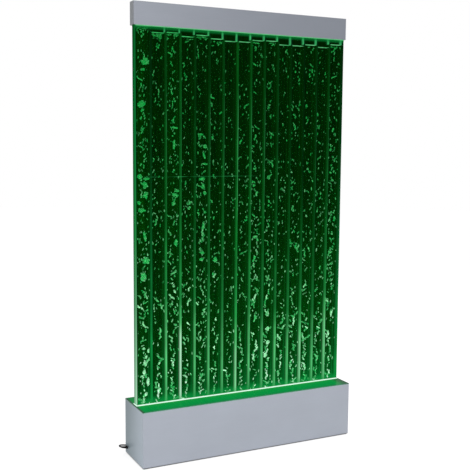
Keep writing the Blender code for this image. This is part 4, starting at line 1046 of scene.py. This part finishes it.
def bubble_finish():
    """Air in lit water: pale mint where the foot's light reaches, deeper green above."""
    made = Finish("bubbles")
    _, _, z = made.place()
    white, power = (made.read(name) for name in ("white", "power"))
    # Painted highlights: pale spots where the noise peaks
    highlight_spots = made.math("MAXIMUM", made.noise((170, 170, 170), -1.1, 0.9), 0.0)
    white = made.math("POWER", made.math("ADD", white, highlight_spots), BUBBLE_WHITE_POWER)
    colour = made.mix(white, made.ramp(z, BUBBLE_GREEN), made.ramp(z, BUBBLE_MINT))
    _, _, upward = made.parts(made.node("NewGeometry").outputs["Normal"])
    from_below = made.fade(upward, -1.0, 1.0, *BUBBLE_SIDE_SHARES, smooth=False)
    uneven = made.noise((190, 190, 190), 0.35, 1.6)
    light = made.scaled(colour, made.times(from_below, uneven, power))
    return made.glowing(light, base=(10, 60, 30), roughness=0.1, gloss=0.15)


def foot_haze(made, x, z):
    """How much of the foot's light a point inside the panel shows, with a cloudy upper edge."""
    near_top = made.noise((28, 1, 1), *NEAR_HAZE_TOPS, detail=3)
    near = made.fade(z, NEAR_HAZE_START, near_top, NEAR_HAZE_SHARE, 0.0)
    far_top = made.fade(x, *FAR_HAZE_SPAN_X, *FAR_HAZE_TOPS)
    clouds = made.noise((26, 1, 10), 0.0, FAR_HAZE_SHARE)
    far = made.times(made.fade(z, DECK_TOP, far_top, 1.0, 0.0), clouds)
    return made.math("MAXIMUM", near, far)


def bar_finish(index):
    """An acrylic bar whose front edge carries the light, brighter where it stands clear of the water."""
    made = Finish(f"bar_{index:02d}")
    x, y, z = made.place()
    level = max(water_level(c) for c in (index - 1, index) if 0 <= c < CHANNEL_COUNT)
    streaks = made.noise((500, 500, 3), 0.85, 1.15, detail=3)
    slow = made.noise((40, 1, 7), 0.6, 1.4)
    share = made.fade(z, *FOOT_TO_UPPER_HEIGHTS, FOOT_SHARES[index], UPPER_SHARES[index], smooth=False)
    glow = RIGHT_EDGE_GLOW if index in DEEP_GREEN_BARS else BAR_GLOW
    height = made.math("SUBTRACT", z, GLOW_RISES[index])
    edge = made.scaled(made.ramp(height, glow), made.times(streaks, slow, share))
    if CORE_PALE_SHARES[index]:
        core = made.fade(height, *CORE_END_HEIGHTS, CORE_PALE_SHARES[index], 0.0)
        edge = made.mix(core, edge, made.scaled(made.plain(CORE_MINT), streaks))
    if LINE_SHARES[index]:
        edge = made.mix(front_line(made, index, x, z, slow), edge, LINE_MINT)
    front = made.fade(y, *BAR_FRONT_Y, 1.0, 0.0)
    round_edge = made.fade(y, *BAR_GLOW_Y, BAR_GLOW_SHARE, 0.0)
    side = made.mix(foot_haze(made, x, z), made.ramp(z, DARK_GLOW), HAZE)
    wet = made.mix(front, made.added(side, made.scaled(edge, round_edge)), edge)
    film = made.times(
        made.fade(y, WATER_FRONT, FILM_FULL_Y, FILM_FRONT_SHARE, 1.0),
        made.fade(y, 0.0, WATER_BACK, 1.0, FILM_REAR_SHARE),
        made.noise((90, 90, 90), 0.55, 1.15),
        made.fade(front, 0.0, 1.0, 1.0, FILM_EDGE_SHARE),
    )
    dry = made.scaled(made.plain(FILM_GREEN), film)
    lit = made.mix(made.fade(z, level, level + WET_EDGE), wet, dry)
    if index in (0, CHANNEL_COUNT):
        at_end, end_colour = end_glow(made, x, z)
        across = made.fade(y, WATER_FRONT, WATER_BACK, 1.0, END_REAR_SHARE)
        lit = made.mix(at_end, lit, made.scaled(end_colour, made.times(across, streaks)))
    return made.glowing(lit, base=(1, 20, 7), roughness=0.2, gloss=0.0)


def front_line(made, index, x, z, slow):
    """How strong the painted highlight, a thin pale line on a bar's front edge, is at a point."""
    off_line = made.math("ABSOLUTE", made.math("SUBTRACT", x, bar_centre(index) + LINE_OFFSET))
    on_line = made.fade(off_line, LINE_HALF_WIDTH, LINE_HALF_WIDTH + LINE_SOFT_EDGE, 1.0, 0.0)
    start = made.fade(z, *LINE_START_HEIGHTS)
    end = made.fade(z, *LINE_END_HEIGHTS, LINE_SHARES[index], 0.0)
    return made.times(on_line, made.times(start, end), slow)


def end_glow(made, x, z):
    """How far a point is on the panel's end faces, and their colour there."""
    at_end = made.fade(made.math("ABSOLUTE", x), *END_FACE_X)
    right = made.math("GREATER_THAN", x, 0.0)
    return at_end, made.mix(right, made.ramp(z, LEFT_EDGE_GLOW), made.ramp(z, RIGHT_EDGE_GLOW))


def front_sheet_finish():
    """Clear acrylic: unseen but for its lit ends, the glow at its foot and under the cap."""
    made = Finish("clear_sheet")
    x, y, z = made.place()
    on_front = made.fade(y, *SHEET_SKIN_Y, 1.0, 0.0)
    line = made.fade(z, *FOOT_LINE_HEIGHTS, 1.0, 0.0)
    waves = made.noise((45, 1, 1), 0.5, 1.3)
    haze = made.times(made.fade(z, *FRONT_HAZE_HEIGHTS, FRONT_HAZE_SHARE, 0.0), waves)
    below = made.fade(z, *CAP_GLOW_HEIGHTS, 0.0, CAP_GLOW_SHARE)
    inside = made.fade(z, *CAP_INSIDE_HEIGHTS, 1.0, CAP_INSIDE_SHARE)
    under_cap = made.times(below, inside)
    # A faint seam, painted as a line of green light across part of the sheet
    starts = made.fade(x, *SEAM_START_X, SEAM_START_SHARE, 1.0)
    reach = made.times(starts, made.fade(x, *SEAM_END_X, 1.0, 0.0))
    seam = made.times(made.math("COMPARE", z, SEAM_HEIGHT, SEAM_HALF_HEIGHT), reach)
    seam = made.times(seam, made.noise((18, 1, 1), -0.15, 0.62, detail=3))
    over_face = made.math("MAXIMUM", line, haze)
    over_face = made.math("MAXIMUM", over_face, made.math("MAXIMUM", under_cap, seam))
    over_face = made.times(over_face, on_front)
    at_end, edge = end_glow(made, x, z)
    clear = made.math("MAXIMUM", over_face, at_end)
    on_seam = made.math("GREATER_THAN", seam, SEAM_LEAST_SHARE)
    glow = made.mix(line, made.mix(on_seam, SHEET_GREEN, SEAM_GREEN), FOOT_LINE)
    colour = made.mix(made.fade(clear, 0.0, CLEAR_BLEND_SHARE), (0, 0, 0), glow)
    colour = made.mix(at_end, colour, made.scaled(edge, FRONT_END_SHARE))
    made.set(Alpha=made.math("MAXIMUM", clear, SHEET_LEAST_ALPHA))
    return made.glowing(colour, base=(2, 30, 12), roughness=0.06, gloss=0.0)


def back_sheet_finish():
    """Nearly black acrylic: the water's light shows on its front, its back is dark and glossy."""
    made = Finish("dark_sheet")
    x, y, z = made.place()
    streaks = made.noise((110, 1, 8), 0.5, 1.5, detail=3)
    mist = made.noise((190, 1, 120), 0.3, 1.7, detail=3)
    left_share = made.fade(z, *LEFT_BACK_HEIGHTS, *LEFT_BACK_SHARES)
    left_end = made.fade(x, *LEFT_BACK_SPAN_X, left_share, 1.0)
    low_down = made.fade(x, *BACK_SPAN_X, *BACK_LOW_SHARES, smooth=False)
    high_up = made.fade(x, *BACK_SPAN_X, *BACK_HIGH_SHARES, smooth=False)
    along = made.fade(z, *BACK_HEIGHTS, low_down, high_up)
    middle = (bar_centre(HAZY_CHANNEL) + bar_centre(HAZY_CHANNEL + 1)) / 2
    from_middle = made.math("ABSOLUTE", made.math("SUBTRACT", x, middle))
    hazy_share = made.fade(z, *HAZY_HEIGHTS, 1.0, HAZY_SHARE)
    hazy = made.fade(from_middle, *HAZY_HALF_WIDTHS, hazy_share, 1.0)
    level = made.times(left_end, along, hazy)
    dark = made.scaled(made.ramp(z, DARK_GLOW), made.times(made.times(streaks, mist), level))
    from_bar = made.math("PINGPONG", made.math("SUBTRACT", x, FIRST_BAR_X), CHANNEL_PITCH / 2)
    halo = made.fade(from_bar, *HALO_WIDTHS, 1.0, 0.0)
    lit = made.added(dark, made.scaled(made.ramp(z, HALO_GLOW), halo))
    lit = made.mix(foot_haze(made, x, z), lit, HAZE)
    at_end, edge = end_glow(made, x, z)
    lit = made.mix(at_end, lit, made.scaled(edge, BACK_END_SHARE))
    front = made.fade(y, *BACK_SKIN_Y, 1.0, 0.0)
    front = made.math("MAXIMUM", front, at_end)
    light = made.scaled(lit, made.fade(front, 0.0, 1.0, BACK_REAR_SHARE, 1.0))
    gloss = made.fade(front, 0.0, 1.0, BACK_REAR_GLOSS, 0.0)
    return made.glowing(light, base=(1, 6, 2), roughness=0.09, gloss=gloss)


def water_finish():
    """The water itself, all but clear, with a faint painted green glow that follows the height."""
    made = Finish("water_body")
    _, _, z = made.place()
    made.set(Alpha=0.05)
    return made.glowing(made.ramp(z, DARK_GLOW), base=(2, 60, 20), roughness=0.05, gloss=0.0)


def surface_finish():
    """The water's surface, which catches the light as a thin pale line."""
    made = Finish("water_surface")
    tone = made.noise((90, 90, 400), 0.6, 1.25, detail=3)
    x, _, _ = made.place()
    pale = made.mix(made.fade(x, *PALE_SURFACE_SPAN_X), (64, 190, 104), (118, 206, 146))
    colour = made.mix(made.noise((38, 10, 10), detail=3), (24, 140, 64), pale)
    return made.glowing(made.scaled(colour, tone), base=(20, 120, 60), roughness=0.15, gloss=0.1)


def lit_silicone(name, colour):
    """Translucent silicone that glows with the light beside it."""
    made = Finish(name)
    tone = made.noise((60, 60, 200), 0.8, 1.15)
    light = made.scaled(made.plain(colour), tone)
    return made.glowing(light, base=(20, 90, 45), roughness=0.35, gloss=0.2)


def deck_finish():
    """Glossy sheet that takes up the foot's green light, fading beyond the panel's ends."""
    made = Finish("deck_metal")
    x, y, _ = made.place()
    outward = made.math("ABSOLUTE", x)
    ends = made.mix(made.fade(outward, PANEL_HALF_WIDTH, BASE_HALF_WIDTH), (34, 112, 66), (66, 92, 74))
    beside_panel = made.ramp(made.math("ABSOLUTE", y), DECK_GLOW)
    streaks = made.noise((120, 4, 1), 0.92, 1.08, detail=3)
    streaks = made.times(streaks, made.fade(y, *DECK_REAR_SPAN_Y, 1.0, DECK_REAR_SHARE))
    made.set(Base_Color=made.mix(made.noise((6, 6, 6)), (8, 22, 14), (12, 28, 18)), Metallic=0.0)
    made.set(Roughness=made.noise((300, 12, 1), 0.22, 0.34, detail=3), Specular_IOR_Level=0.005)
    lit = made.mix(made.fade(outward, *DECK_END_X), beside_panel, ends)
    lit = made.mix(made.fade(x, *DECK_RIGHT_SPAN_X, 0.0, DECK_RIGHT_SHARE), lit, (38, 66, 50))
    # The emission paints the foot's green light as its reflection in the sheet
    made.set(Emission_Color=made.scaled(lit, streaks), Emission_Strength=1.0)
    return made.material


def dress_cad():
    """Finishes for every CAD node that stays in view."""
    silver_base = satin_metal("silver_base", (191, 197, 209), right_shade_share=0.93, spill_share=0.5,
                              end_front_shading=(201, 215, 228), end_rear_shading=(142, 161, 170))
    # The cap: the same satin silver as the base, painted darker as shade
    shaded_silver_cap = satin_metal("shaded_silver_cap", (136, 141, 151), right_shade_share=0.98, spill_share=0.0,
                             end_front_shading=(150, 156, 163), end_rear_shading=(142, 148, 153))
    steel = plated("zinc_steel", (168, 170, 173))
    aluminium = plated("mill_aluminium", (196, 198, 201), roughness=0.4)
    black = moulded("black_plastic", (24, 25, 27))
    grey = moulded("grey_plastic", (120, 124, 126))
    rubber = moulded("black_rubber", (15, 15, 16), roughness=0.62, grain_cells=1300, gloss=0.12)
    board = moulded("light_board", (222, 234, 226), roughness=0.45)
    milky = moulded("milky_silicone", (188, 206, 196), roughness=0.35)
    dress("cap_shell", shaded_silver_cap)
    dress("base_shell service_door", silver_base)
    dress("deck_plate", deck_finish())
    dress("front_sheet", front_sheet_finish())
    dress("back_sheet", back_sheet_finish())
    dividers = [f"divider_{index:02d}" for index in range(1, CHANNEL_COUNT)]
    for index, name in enumerate(["end_bar_left", *dividers, "end_bar_right"]):
        dress(name, bar_finish(index))
    dress("bottom_bar", bar_finish(1))
    dress("foot_seal", lit_silicone("foot_light", FOOT_LINE))
    dress("cap_seal_front cap_seal_rear", lit_silicone("cap_light", (86, 178, 116)))
    dress("air_rail rail_cover cap_rest_left cap_rest_right power_supply light_controller", grey)
    dress("air_tube_left air_tube_right", milky)
    dress("light_strip_front light_strip_rear", board)
    dress("light_carrier_front light_carrier_rear", aluminium)
    dress("cradle cradle_bracket_left cradle_bracket_right", aluminium)
    dress("base_pan door_hinge_leaf hinge_pin latch_knob latch_cam", steel)
    dress("air_pump_left air_pump_right switch_frame switch_rocker inner_lead coil_tie", black)
    dress("foot_front_left foot_front_right foot_rear_left foot_rear_right strain_relief plug", rubber)
    return rubber


def seen_directly(made):
    """1 for rays that should meet a white background: from the camera, a mirror or glass."""
    path = made.node("LightPath").outputs
    seen = made.math("MAXIMUM", path["Is Camera Ray"], path["Is Glossy Ray"])
    return made.math("MAXIMUM", seen, path["Is Transmission Ray"])


def make_world():
    world = bpy.data.worlds.new("studio")
    world.use_nodes = True
    made = Nodes(world.node_tree)
    light = made.tree.nodes["Background"]
    made.feed(light.inputs["Color"], WHITE)
    made.feed(light.inputs["Strength"], WORLD_LIGHT)
    white = made.node("Background", WHITE, 1)
    both = made.node("MixShader", seen_directly(made), light.outputs[0], white.outputs[0])
    made.feed(made.tree.nodes["World Output"].inputs["Surface"], both.outputs[0])
    bpy.context.scene.world = world


def clear_of_base(made):
    """The floor's glow in the open, and none right under the base, where no light reaches."""
    glows = []
    for place, half in zip(made.place(), (BASE_HALF_WIDTH, BASE_REAR)):
        start, full = (half + margin for margin in FLOOR_SHADE_MARGINS)
        glows.append(made.fade(made.math("ABSOLUTE", place), start, full, 0.0, FLOOR_GLOW, smooth=False))
    return made.math("MAXIMUM", *glows)


def make_floor():
    """A white floor that still takes the object's shadow."""
    shape = bmesh.new()
    bmesh.ops.create_circle(shape, cap_ends=True, segments=FLOOR_SIDES, radius=FLOOR_RADIUS)
    mesh = bpy.data.meshes.new("floor")
    shape.to_mesh(mesh)
    shape.free()
    material = bpy.data.materials.new("floor")
    material.use_nodes = True
    made = Nodes(material.node_tree)
    made.tree.nodes.remove(made.tree.nodes["Principled BSDF"])
    diffuse = made.node("BsdfDiffuse", FLOOR_GREY)
    glow = made.node("Emission")
    made.feed(glow.inputs["Strength"], made.times(seen_directly(made), clear_of_base(made)))
    both = made.node("AddShader", diffuse.outputs[0], glow.outputs[0])
    made.feed(made.tree.nodes["Material Output"].inputs["Surface"], both.outputs[0])
    mesh.materials.append(material)
    in_scene("floor", mesh)


def make_lamp(name, place, target, size, power):
    """A soft square lamp that points at a target."""
    data = bpy.data.lights.new(name, "AREA")
    data.shape = "SQUARE"
    data.size = size
    data.energy = power
    lamp = in_scene(name, data)
    lamp.location = place
    lamp.rotation_euler = (Vector(target) - Vector(place)).to_track_quat("-Z", "Y").to_euler()


def make_stage():
    make_world()
    make_floor()
    for lamp in LAMPS:
        make_lamp(*lamp)
    bpy.context.scene.view_settings.view_transform = "Standard"


def build():
    make_camera()
    rubber = dress_cad()
    make_lead(rubber)
    water = water_finish()
    surface = surface_finish()
    air = bubble_finish()
    balls = [unit_ball(fineness) for fineness in BALL_FINENESS]
    for channel in range(CHANNEL_COUNT):
        make_water(channel, water, surface)
        make_bubbles(channel, balls, air)
    make_stage()


build()
